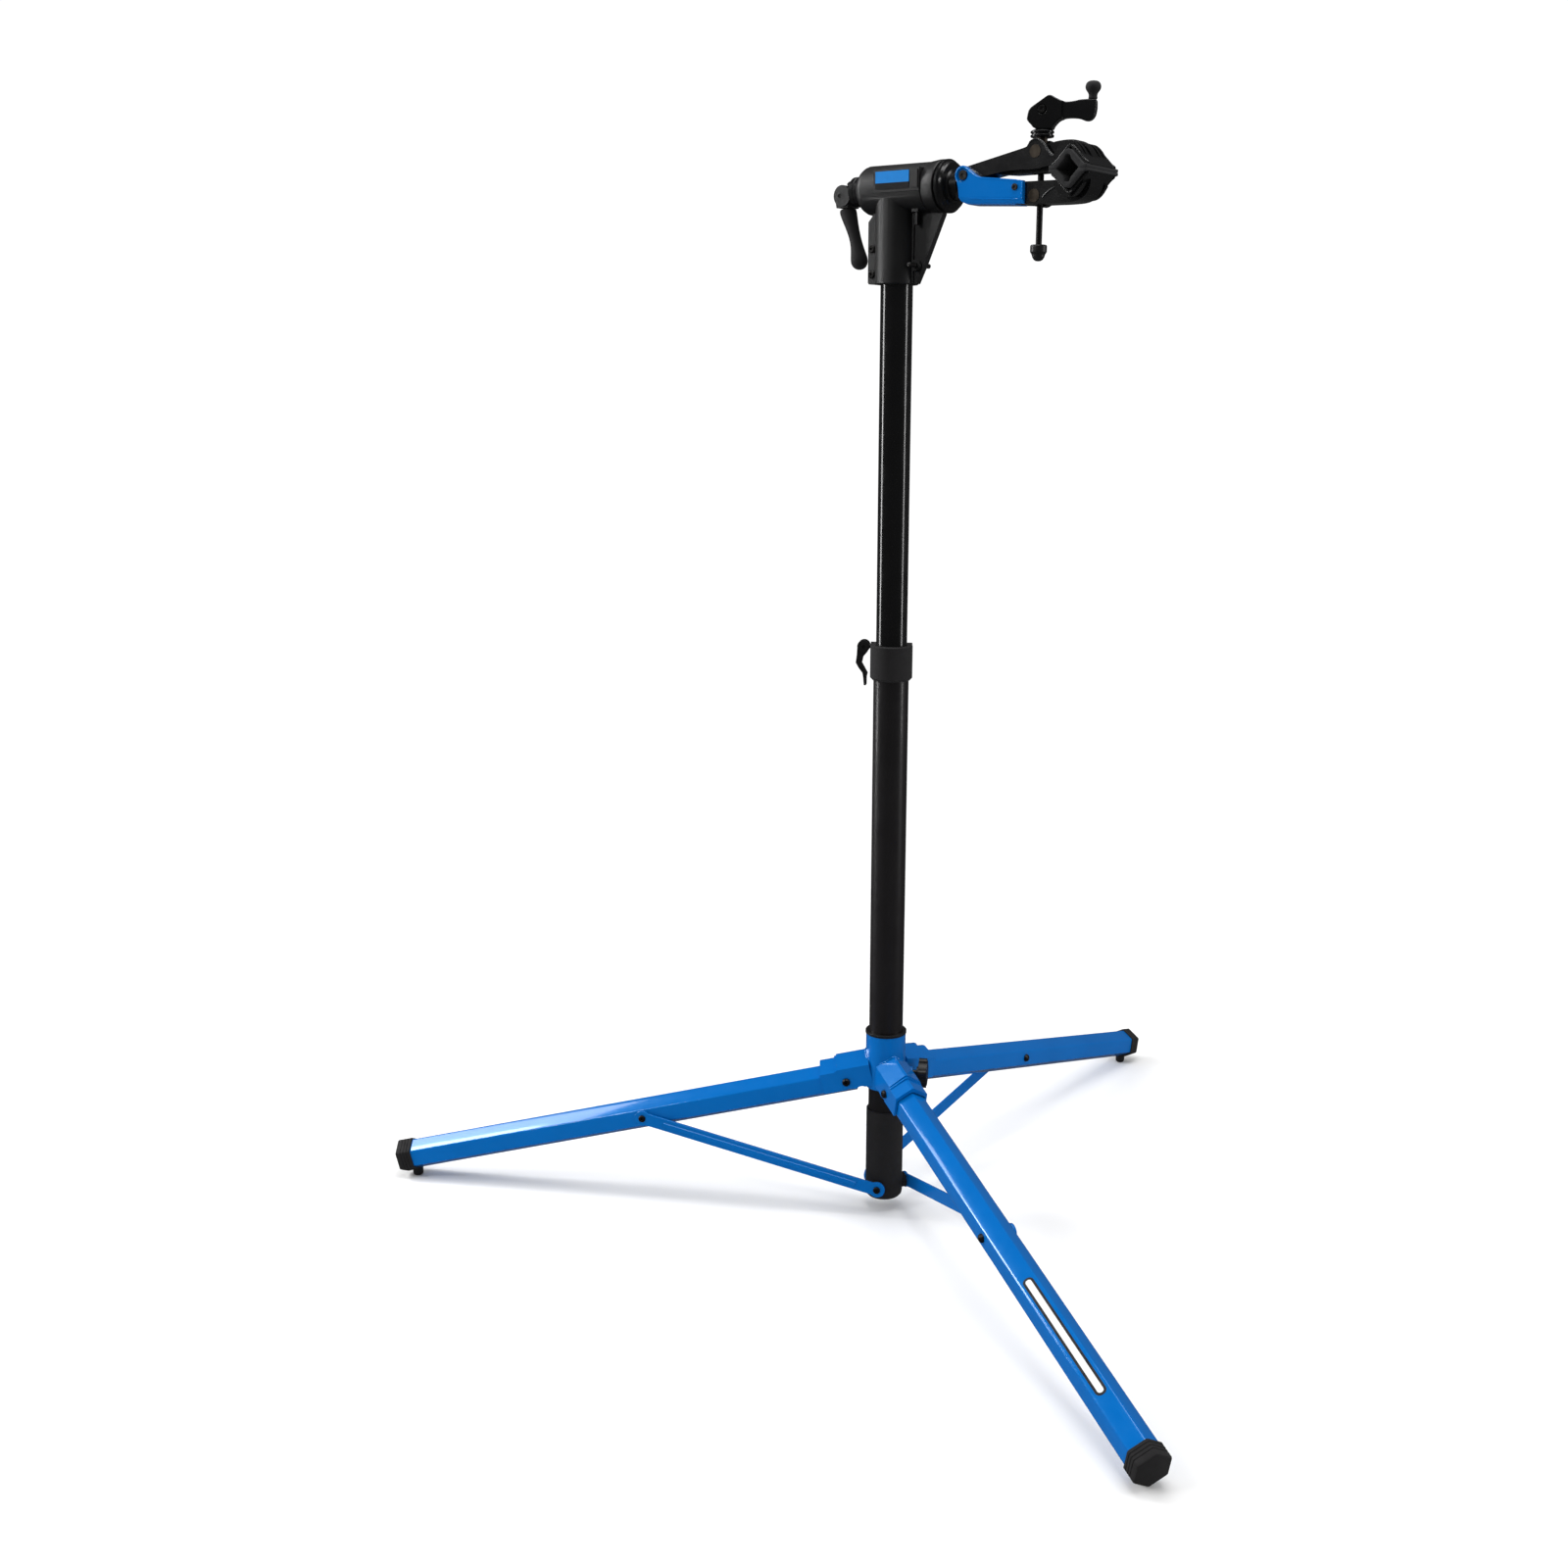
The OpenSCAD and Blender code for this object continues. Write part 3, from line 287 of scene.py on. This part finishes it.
def make(name, vertices, faces, material, sharp=35.0):
    """A mesh object from millimetres, smooth up to the given edge angle."""
    mesh = bpy.data.meshes.new(name)
    mesh.from_pydata([Vector(v) * MM for v in vertices], [], faces)
    mesh.validate()
    mesh.polygons.foreach_set("use_smooth", [True] * len(mesh.polygons))
    mesh.set_sharp_from_angle(angle=math.radians(sharp))
    mesh.materials.append(material)
    return linked(name, mesh)


def loft(rings, capped=True, looped=False):
    """Vertices and faces of a skin over equal rings. looped joins the last to the first."""
    count = len(rings[0])
    vertices = [tuple(v) for ring in rings for v in ring]
    faces = []
    steps = len(rings) if looped else len(rings) - 1
    for i in range(steps):
        a, b = i * count, ((i + 1) % len(rings)) * count
        for j in range(count):
            k = (j + 1) % count
            faces.append((a + j, b + j, b + k, a + k))
    if capped and not looped:
        last = (len(rings) - 1) * count
        faces.append(tuple(range(count)))
        faces.append(tuple(reversed(range(last, last + count))))
    return vertices, faces


def placed(vertices, matrix):
    return [matrix @ Vector(v) for v in vertices]


def join(*parts):
    """Several (vertices, faces) as one."""
    vertices, faces = [], []
    for vs, fs in parts:
        base = len(vertices)
        vertices += [tuple(v) for v in vs]
        faces += [tuple(base + i for i in f) for f in fs]
    return vertices, faces


def rounded(points, radius, steps):
    """A closed outline with its corners rounded."""
    out = []
    count = len(points)
    for i, corner in enumerate(points):
        p = Vector(corner)
        a, b = Vector(points[i - 1]) - p, Vector(points[(i + 1) % count]) - p
        half = a.angle(b) / 2
        back = min(radius / math.tan(half), a.length * 0.49, b.length * 0.49)
        r = back * math.tan(half)
        centre = p + (a.normalized() + b.normalized()).normalized() * (r / math.sin(half))
        start, end = p + a.normalized() * back - centre, p + b.normalized() * back - centre
        turn = start.angle_signed(end)
        for k in range(steps + 1):
            spun = start.copy()
            spun.rotate(Matrix.Rotation(-turn * k / steps, 2))
            out.append(centre + spun)
    return out


def hex_ring(x, flats, radius, steps=4):
    """Rounded hexagon across X, with a corner on top."""
    out = []
    apothem = flats / 2
    middle = (apothem - radius) / math.cos(math.radians(30))
    for corner in range(6):
        at = math.radians(90 - 60 * corner)
        for k in range(steps + 1):
            turn = at + math.radians(30 - 60 * k / steps)
            out.append((
                x,
                middle * math.cos(at) + radius * math.cos(turn),
                middle * math.sin(at) + radius * math.sin(turn),
            ))
    return out


def round_ring(centre, radius, axis_a, axis_b, count):
    """Points of a circle in the plane of two unit vectors."""
    return [
        Vector(centre)
        + axis_a * (radius * math.cos(math.tau * i / count))
        + axis_b * (radius * math.sin(math.tau * i / count))
        for i in range(count)
    ]


def revolve(profile, count=48):
    """Closed form turned about Z from (radius, z) pairs that start and end on the axis."""
    least = 0.01
    rings = [
        round_ring((0, 0, z), max(r, least), Vector((1, 0, 0)), Vector((0, 1, 0)), count)
        for r, z in profile
    ]
    return loft([list(reversed(ring)) for ring in rings])


def bead(points, radius, ripple=0.0, seed=0):
    """Weld bead or raised rim along a line, with rounded ends and a stacked-coin ripple."""
    sides, end_rings, ripple_turn = 12, 3, 1.9
    draw = random.Random(seed)
    points = [Vector(p) for p in points]
    rings = []
    last = len(points) - 1
    for i, p in enumerate(points):
        along = (points[min(i + 1, last)] - points[max(i - 1, 0)]).normalized()
        side = along.cross(Vector((0, 0, 1)))
        side = side.normalized() if side.length > 0.1 else Vector((0, 1, 0))
        up = side.cross(along).normalized()
        end = min(i, last - i)
        size = radius * math.sin(math.pi / 2 * min(1.0, (end + 0.25) / end_rings))
        size *= 1 + ripple * (math.sin(i * ripple_turn) + draw.uniform(-0.5, 0.5))
        rings.append(round_ring(p, size, side, up, sides))
    return loft(rings)


def along(points, step):
    """The same line with a point about every step."""
    points = [Vector(p) for p in points]
    out = []
    for a, b in zip(points, points[1:]):
        count = max(1, round((b - a).length / step))
        out += [a.lerp(b, k / count) for k in range(count)]
    return out + [points[-1]]


def smooth_line(points, per_span):
    """Catmull-Rom curve through the points."""
    points = [Vector(p) for p in points]
    out = []
    for i in range(len(points) - 1):
        p0, p1 = points[max(i - 1, 0)], points[i]
        p2, p3 = points[i + 1], points[min(i + 2, len(points) - 1)]
        for k in range(per_span):
            t = k / per_span
            out.append(0.5 * (
                2 * p1 + (p2 - p0) * t + (2 * p0 - 5 * p1 + 4 * p2 - p3) * t * t
                + (3 * p1 - p0 - 3 * p2 + p3) * t ** 3
            ))
    return out + [points[-1]]


def leg_matrix(azimuth):
    """The frame of one open leg, in millimetres: X along the tube from its pivot."""
    return (
        Matrix.Rotation(math.radians(azimuth), 4, "Z")
        @ Matrix.Translation((LEG_PIVOT_R, 0, LEG_PIVOT_Z))
        @ Matrix.Rotation(math.radians(LEG_SLOPE), 4, "Y")
    )


def finish_node(name, material, width, clamped):
    """Gives a CAD node its material, and real rounded edges where width says so."""
    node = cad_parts[name]
    node.data.materials.clear()
    node.data.materials.append(material)
    if not width:
        return
    node.modifiers.new("weld", "WELD").merge_threshold = WELD_REACH
    flat = node.modifiers.new("flat", "DECIMATE")
    flat.decimate_type = "DISSOLVE"
    flat.angle_limit = math.radians(FLAT_ANGLE)
    edge = node.modifiers.new("edge", "BEVEL")
    edge.width = width * MM
    edge.segments = BEVEL_STEPS
    edge.limit_method = "ANGLE"
    edge.angle_limit = math.radians(BEVEL_ANGLE)
    edge.miter_outer = "MITER_ARC"
    edge.use_clamp_overlap = clamped
    node.modifiers.new("shade", "WEIGHTED_NORMAL").keep_sharp = False


# ------------------------------------------------------------------ CAD nodes

# Each row: names, material, and the bevel's width (0 for none)
FINISHES = [
    (["mast_lower_tube"], SATIN, 0.5),
    (["mast_upper_tube"], BLACK, 0.0),
    (["mast_foot_sleeve", "height_collar"], RUBBER, 0.8),
    (["collar_liner", "hub_bushing_upper", "hub_bushing_lower"], PLASTIC, 0.5),
    (["collar_lever"], PLASTIC, 0.8),
    (["collar_skewer", "collar_lever_pin", "hub_lock_stud"], STEEL, 0.3),
    (["strut_lower_bolts", "leg_pivot_bolts", "socket_bolts", "accessory_pin"], STEEL, 0.35),
    ([f"leg_strut_bolt_{s}" for s in LEG_AZIMUTHS], STEEL, 0.35),
    ([f"strut_upper_bolt_{s}" for s in LEG_AZIMUTHS], STEEL, 0.35),
    ([f"strut_{s}" for s in LEG_AZIMUTHS], BLUE, 0.8),
    (["leg_hub"], BLUE, 1.0),
    (["hub_knob"], PLASTIC, 1.4),
    (["upper_tube_glide"], RUBBER, 0.0),
    (["head_casting"], CAST, 1.1),
    (["head_label"], LABEL, 0.15),
    (["spindle_bush_front", "spindle_bush_rear", "spindle_shaft", "tension_pin"], STEEL, 0.3),
    (["spindle_flange"], JAW, 0.6),
    (["tension_washer"], JAW, 0.5),
    (["tension_cam"], CAST, 1.0),
    (["lower_jaw_arm"], BLUE, 1.0),
    (["lower_jaw"], JAW, 1.0),
    (["upper_jaw_arm"], JAW, 1.2),
    (["lower_jaw_screw", "arm_pivot_pin"], STEEL, 0.3),
    (["upper_trunnion", "lower_trunnion"], PIN, 0.4),
    (["thrust_washer"], JAW, 0.3),
    (["clamp_rod"], ROD, 0.3),
    (["rod_end_nut"], PLASTIC, 0.5),
    (["crank_pin", "crank_knob_axle"], STEEL, 0.3),
    (["crank_arm"], JAW, 1.7),
    (["crank_knob"], RUBBER, 0.0),
]
# Bevels that keep their full width instead of being held back by the shortest edge
FREE_BEVELS = {"crank_arm"}
for names, material, width in FINISHES:
    for name in names:
        finish_node(name, material, width, name not in FREE_BEVELS)


# ------------------------------------------------------------------ legs and caps


def leg_skin(side):
    """Hexagonal leg with rolled corners, hollow as the real tube is."""
    start, end, edge = LEG_START, LEG_LENGTH - CAP_WALL - CAP_SEAT, 0.4
    bore = LEG_FLATS - 2 * LEG_WALL
    rings = [
        hex_ring(start, bore, BORE_CORNER),
        hex_ring(start, LEG_FLATS - 2 * edge, LEG_CORNER),
        hex_ring(start + edge, LEG_FLATS, LEG_CORNER),
        hex_ring(end - edge, LEG_FLATS, LEG_CORNER),
        hex_ring(end, LEG_FLATS - 2 * edge, LEG_CORNER),
        hex_ring(end, bore, BORE_CORNER),
    ]
    vertices, faces = loft(rings, looped=True)
    vertices = placed(vertices, leg_matrix(LEG_AZIMUTHS[side]))
    piece = make(f"leg_{side}_tube", vertices, faces, BLUE, 40)
    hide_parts(f"leg_tube_{side}")
    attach(piece, f"leg_{side}")


def cap_skin(side):
    """Foot cap with three shallow grooves, a domed end and a nub under it."""
    first, mouth, groove_depth = LEG_LENGTH - CAP_LENGTH, LEG_FLATS + 2 * CAP_SEAT, 1.5
    profile = [
        (first + 1.2, mouth), (first, LEG_FLATS + 1.4), (first, CAP_FLATS - 1.6),
        (first + 0.9, CAP_FLATS),
    ]
    for groove in (first + 5.5, first + 10.5, first + 15.5):
        profile += [
            (groove - 1.1, CAP_FLATS), (groove - 0.6, CAP_FLATS - groove_depth),
            (groove + 0.6, CAP_FLATS - groove_depth), (groove + 1.1, CAP_FLATS),
        ]
    profile += [
        (LEG_LENGTH - 2.6, CAP_FLATS), (LEG_LENGTH - 0.8, CAP_FLATS - 1.4),
        (LEG_LENGTH, CAP_FLATS - 5),
    ]
    rings = [hex_ring(LEG_LENGTH - CAP_WALL, mouth, LEG_CORNER)]
    rings += [hex_ring(x, flats, CAP_CORNER) for x, flats in profile]
    vertices, faces = loft(rings)
    azimuth = LEG_AZIMUTHS[side]
    shell = (placed(vertices, leg_matrix(azimuth)), faces)
    nub = revolve([
        (0, 0), (4.6, 0), (5.2, 0.3), (6.9, 1.0), (7.7, 2.1), (8, 3.4), (8, 24), (7.4, 26), (0, 26),
    ], 40)
    reach = LEG_PIVOT_R + LEG_LENGTH * math.cos(math.radians(LEG_SLOPE)) - NUB_BACK
    spot = Matrix.Rotation(math.radians(azimuth), 4, "Z") @ Matrix.Translation((reach, 0, 0))
    vertices, faces = join(shell, (placed(nub[0], spot), nub[1]))
    piece = make(f"foot_{side}", vertices, faces, RUBBER, 32)
    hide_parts(f"foot_cap_{side}")
    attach(piece, f"leg_{side}")


for side in LEG_AZIMUTHS:
    leg_skin(side)
    cap_skin(side)


def leg_stripe(name, start, end, half, lift, material):
    """Plain rounded stripe stuck on the front leg's near upper face."""
    corners = [(start, -half), (end, -half), (end, half), (start, half)]
    outline = rounded(corners, half * 0.9, 8)
    face, sunk = LEG_FLATS / 2, 0.1
    across, out = Vector((0, 0.866, 0.5)), Vector((0, -0.5, 0.866))
    rings = [
        [Vector((p.x, 0, 0)) + across * p.y + out * (face + height) for p in outline]
        for height in (-sunk, lift)
    ]
    vertices, faces = loft(rings)
    piece = make(name, placed(vertices, leg_matrix(LEG_AZIMUTHS["front"])), faces, material)
    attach(piece, "leg_front")


leg_stripe("front_leg_stripe_edge", 432, 636, 7.6, 0.12, LABEL_BLACK)
leg_stripe("front_leg_stripe", 435.4, 632.6, 4.2, 0.2, LABEL_WHITE)


# ------------------------------------------------------------------ hub welds


def hub_welds():
    """Beads where each arm's roof and sides meet the sleeve."""
    sleeve_r, half, ridge_half, eave, ridge = 30.0, 19.6, 2.0, 24.9, 37.5
    proud, spans = 0.4, 34
    slope = math.radians(LEG_SLOPE)

    def on_roof(y):
        w = ridge - (ridge - eave) * max(0.0, abs(y) - ridge_half) / (half - ridge_half)
        x = math.sqrt(sleeve_r ** 2 - y * y)
        u = (x - LEG_PIVOT_R - w * math.sin(slope)) / math.cos(slope)
        return Vector((x + proud, y, LEG_PIVOT_Z - u * math.sin(slope) + w * math.cos(slope)))

    parts = []
    for k, azimuth in enumerate(LEG_AZIMUTHS.values()):
        line = [on_roof(-half + 2 * half * i / spans) for i in range(spans + 1)]
        turn = Matrix.Rotation(math.radians(azimuth), 4, "Z")
        vertices, faces = bead(along(line, 1.1), 1.5, 0.12, seed=k)
        parts.append((placed(vertices, turn), faces))
    piece = make("hub_weld_beads", *join(*parts), BLUE, 60)
    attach(piece, "leg_carriage")


hub_welds()


# ------------------------------------------------------------------ jaw pads


def pad_lines():
    """Outer and inner edge of a pad's section, half at a time: (x, z) from its lip to its heel."""
    outer = smooth_line([
        (-27, SPLIT_GAP, 0), (-27, 3.6, 0), (-24.6, 4.3, 0), (-21.9, 4.9, 0), (-18, 8.1, 0),
        (-12, 14, 0), (-7, 18.9, 0), (-3.4, 21.9, 0), (0, 22.7, 0),
    ], 5)
    inner = smooth_line([
        (-15.1, SPLIT_GAP, 0), (-14.3, 1.2, 0), (-12.2, 3.3, 0), (-10.6, 4.9, 0), (-8.6, 6.9, 0),
        (-5.6, 9.8, 0), (-4.2, 12.3, 0), (-3.1, 15.1, 0), (0, 16.3, 0),
    ], 5)
    return outer, inner


def jaw_pad(name, node, body, up):
    """Soft V block: thick walls, a heel at the bottom of the V, a lip on each side of the seam."""
    half_outer, half_inner = pad_lines()
    outer = half_outer + [Vector((-v.x, v.y, 0)) for v in reversed(half_outer[:-1])]
    inner = half_inner + [Vector((-v.x, v.y, 0)) for v in reversed(half_inner[:-1])]
    rings = []
    slices = [(PAD_MIDDLE_HALF, 0), (PAD_HALF - 1, 0), (PAD_HALF - 0.3, 0.4), (PAD_HALF, 1.0)]
    for y, inset in [(-y, inset) for y, inset in reversed(slices)] + slices:
        section = []
        for near, far in ((outer, inner), (inner, outer)):
            line = [p + (q - p).normalized() * inset for p, q in zip(near, far)]
            section += line if near is outer else list(reversed(line))
        rings.append([(JAW_X + p.x, y, JAW_Z + up * p.y) for p in section])
    vertices, faces = loft(rings, capped=False)
    count, half = len(rings[0]), len(outer)
    for first in (0, (len(rings) - 1) * count):
        for i in range(half - 1):
            faces.append((first + i, first + i + 1, first + count - 2 - i, first + count - 1 - i))
    piece = make(name, vertices, faces, PAD, 50)
    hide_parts(node)
    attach(piece, body)


jaw_pad("jaw_pad_upper", "upper_jaw_pad", "upper_jaw", 1)
jaw_pad("jaw_pad_lower", "lower_jaw_pad", "clamp_spindle", -1)


# ------------------------------------------------------------------ rims of the clamp's castings


def rims(name, body, lines, material):
    """Raised cast rims: each line is (half distance from the middle, radius, (x, z) points)."""
    parts = []
    for out, radius, points in lines:
        for y in (-out, out):
            line = smooth_line([(x, y, z) for x, z in points], 6)
            parts.append(bead(line, radius))
    piece = make(name, *join(*parts), material, 60)
    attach(piece, body)


STRAP = [(214, 1536), (219, 1539), (225, 1540), (231.1, 1538.1), (237.2, 1533.4), (242.2, 1526.4),
         (249, 1520.2), (257, 1517), (265, 1516.4)]
UPPER_RIM = [(259, 1505.2), (266, 1510), (275, 1519), (282, 1526), (286, 1528.2), (290, 1526),
             (297, 1519), (306, 1510), (313, 1505.2)]
LOWER_RIM = [(x, 2 * JAW_Z - z) for x, z in UPPER_RIM]
LOWER_STRAP = [(236, 1469), (242, 1474.6), (250, 1479.4), (260, 1482.4)]
EAR = [
    (EAR_X + EAR_R * math.cos(math.radians(a)), EAR_Z + EAR_R * math.sin(math.radians(a)))
    for a in range(225, 35, -15)
]
BLUE_TOP = EAR + [(132, 1506), (139, 1501), (147, 1498), (163, 1496.2), (187, 1493.5), (210, 1491)]
BLUE_END = [(210, 1491), (210, 1484), (210, 1474), (209.4, 1468)]
BLUE_LOW = [(122, 1474.5), (150, 1472.6), (180, 1470.8), (209, 1469)]
rims(
    "upper_jaw_rims", "upper_jaw",
    [(15.2, 1.5, STRAP), (32.8, 1.4, UPPER_RIM)], JAW,
)
rims(
    "lower_jaw_rims", "clamp_spindle",
    [(15.2, 1.5, LOWER_STRAP), (32.8, 1.4, LOWER_RIM)], JAW,
)
rims(
    "blue_arm_rims", "clamp_spindle",
    [(21.3, 1.2, BLUE_TOP), (21.2, 1.1, BLUE_END), (21.1, 1.1, BLUE_LOW)], BLUE,
)


# ------------------------------------------------------------------ crank knob


def crank_knob():
    """Mushroom knob that spins on the crank's axle."""
    outline = smooth_line([
        (5.2, 0, 0), (5.7, 1, 0), (5.4, 4, 0), (6.2, 7, 0), (8.4, 10, 0), (9.7, 13, 0),
        (9.6, 16, 0), (8.2, 19, 0), (5.6, 20.8, 0), (2.6, 21.4, 0), (0, 21.5, 0),
    ], 4)
    vertices, faces = revolve([(0, 0)] + [(v.x, v.y) for v in outline])
    spot = (
        Matrix.Translation((ROD_X, 0, CRANK_PIN_Z))
        @ Matrix.Rotation(math.radians(CRANK_YAW), 4, "Z")
        @ Matrix.Translation((KNOB_OUT, 0, KNOB_UP))
    )
    piece = make("crank_knob_grip", placed(vertices, spot), faces, RUBBER, 50)
    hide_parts("crank_knob")
    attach(piece, "crank_grip")


crank_knob()


# ------------------------------------------------------------------ tension grip


def tension_grip():
    """Waisted handle as one smooth form along its spine: (x, z, half width, half depth)."""
    sides = 28
    spine = [
        (-85.6, 1472.7, 11.2, 11.0), (-84.6, 1468.5, 12.4, 11.5), (-80.8, 1458, 10.8, 10.4),
        (-77.6, 1449, 9.4, 9.2), (-74.2, 1440, 8.5, 8.4), (-71.3, 1431, 8.2, 8.2),
        (-68.8, 1422.5, 8.8, 8.8), (-66.8, 1414, 10.3, 10.3), (-65.2, 1407.5, 11.7, 11.7),
        (-64.2, 1402, 12.1, 12.1), (-63.4, 1397, 10.6, 10.6), (-62.9, 1393.3, 7.2, 7.2),
        (-62.7, 1391.4, 2.6, 2.6),
    ]
    rings = []
    for i, (x, z, wide, deep) in enumerate(spine):
        a, b = spine[max(i - 1, 0)], spine[min(i + 1, len(spine) - 1)]
        down = Vector((b[0] - a[0], 0, b[1] - a[1])).normalized()
        if i == 0:
            down = Vector((0, 0, -1))
        side = down.cross(Vector((0, 1, 0))).normalized()
        rings.append([
            Vector((x, 0, z))
            + side * (wide * math.cos(math.tau * k / sides))
            + Vector((0, 1, 0)) * (deep * math.sin(math.tau * k / sides))
            for k in range(sides)
        ])
    piece = make("tension_grip_skin", *loft(rings), RUBBER, 60)
    soft = piece.modifiers.new("soft", "SUBSURF")
    soft.levels = soft.render_levels = 2
    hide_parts("tension_grip")
    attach(piece, "tension_lever")


tension_grip()


# ------------------------------------------------------------------ floor, light, camera


def pale_floor():
    """Plain pale floor that fades out far from the stand."""
    points = [(0, 0, -FLOOR_DROP)]
    for i in range(FLOOR_SIDES):
        turn = math.tau * i / FLOOR_SIDES
        points.append((FLOOR_RADIUS * math.cos(turn), FLOOR_RADIUS * math.sin(turn), -FLOOR_DROP))
    mesh = bpy.data.meshes.new("floor")
    mesh.from_pydata(
        points, [], [(0, 1 + i, 1 + (i + 1) % FLOOR_SIDES) for i in range(FLOOR_SIDES)]
    )
    floor = linked("floor", mesh)
    pale = Shader("pale_floor")
    pale.set(Specular_IOR_Level=0.05)
    shade = pale.ranged(pale.noise(3, 3), 0, 1)
    pale.colour(pale.mixed(shade, (0.9, 0.9, 0.9), (0.92, 0.92, 0.92)))
    pale.roughness(pale.ranged(pale.noise(8, 4), 0.75, 0.85))
    reach = pale.node("ShaderNodeVectorMath", operation="LENGTH")
    pale.link(pale.place, reach.inputs[0])
    fade = pale.ranged(reach.outputs["Value"], 1, 0, FADE_START, FADE_END)
    pale.link(fade, pale.bsdf.inputs["Alpha"])
    mesh.materials.append(pale.material)
    floor.visible_glossy = False


def white_world():
    """White world, dimmer as a light and in reflections than where it is seen."""
    world = bpy.data.worlds.new("white_studio")
    bpy.context.scene.world = world
    world.use_nodes = True
    nodes, links = world.node_tree.nodes, world.node_tree.links
    nodes["Background"].inputs["Color"].default_value = WHITE
    nodes["Background"].inputs["Strength"].default_value = WORLD_LIGHT
    seen = nodes.new("ShaderNodeLightPath")
    shown = nodes["Background"].outputs[0]
    for ray, strength in (("Is Glossy Ray", WORLD_MIRROR), ("Is Camera Ray", WORLD_SEEN)):
        other, blend = nodes.new("ShaderNodeBackground"), nodes.new("ShaderNodeMixShader")
        other.inputs["Color"].default_value = WHITE
        other.inputs["Strength"].default_value = strength
        links.new(seen.outputs[ray], blend.inputs[0])
        links.new(shown, blend.inputs[1])
        links.new(other.outputs[0], blend.inputs[2])
        shown = blend.outputs[0]
    links.new(shown, nodes["World Output"].inputs[0])


def soft_box(name, place, aim, size, power):
    """Rectangular lamp that faces its aim. Metres and watts."""
    light = bpy.data.lights.new(name, "AREA")
    light.shape = "RECTANGLE"
    light.size, light.size_y = size
    light.energy = power
    box = linked(name, light)
    box.location = place
    box.rotation_euler = (Vector(aim) - Vector(place)).to_track_quat("-Z", "Y").to_euler()


def camera():
    """The viewpoint: place in metres, turn, lens and shift."""
    right = Vector((0.796, 0.6053, 0.0098))
    up = Vector((-0.1535, 0.1861, 0.9705))
    ahead = Vector((-0.5856, 0.774, -0.2411))
    place = Vector((1.4557, -1.9984, 1.2464))
    data = bpy.data.cameras.new("camera")
    data.sensor_width = 36
    data.lens = 39.906
    data.shift_x, data.shift_y = -0.04753, 0.01647
    turn = Matrix((right, up, -ahead)).transposed().to_quaternion().normalized()
    cam = linked("camera", data)
    cam.rotation_mode = "QUATERNION"
    cam.location, cam.rotation_quaternion = place, turn
    bpy.context.scene.camera = cam


pale_floor()
white_world()
camera()
MIDDLE = (0.0, 0.0, 0.8)
soft_box("overhead", (0.5, -0.2, 4.2), (0, 0, 0), (2.6, 3.0), 96)
soft_box("roof_left", (-4.1, -1.4, 3.7), (-0.5, -0.3, 0), (1.3, 2.4), 75)
soft_box("key", (-1.2, -3.2, 3.0), MIDDLE, (0.5, 0.5), 26)
soft_box("left_strip", (-2.9, -1.5, 1.6), MIDDLE, (0.45, 3.4), 58)
soft_box("right_strip", (2.7, 1.3, 1.6), MIDDLE, (0.3, 3.2), 30)
bpy.context.scene.view_settings.view_transform = "Standard"
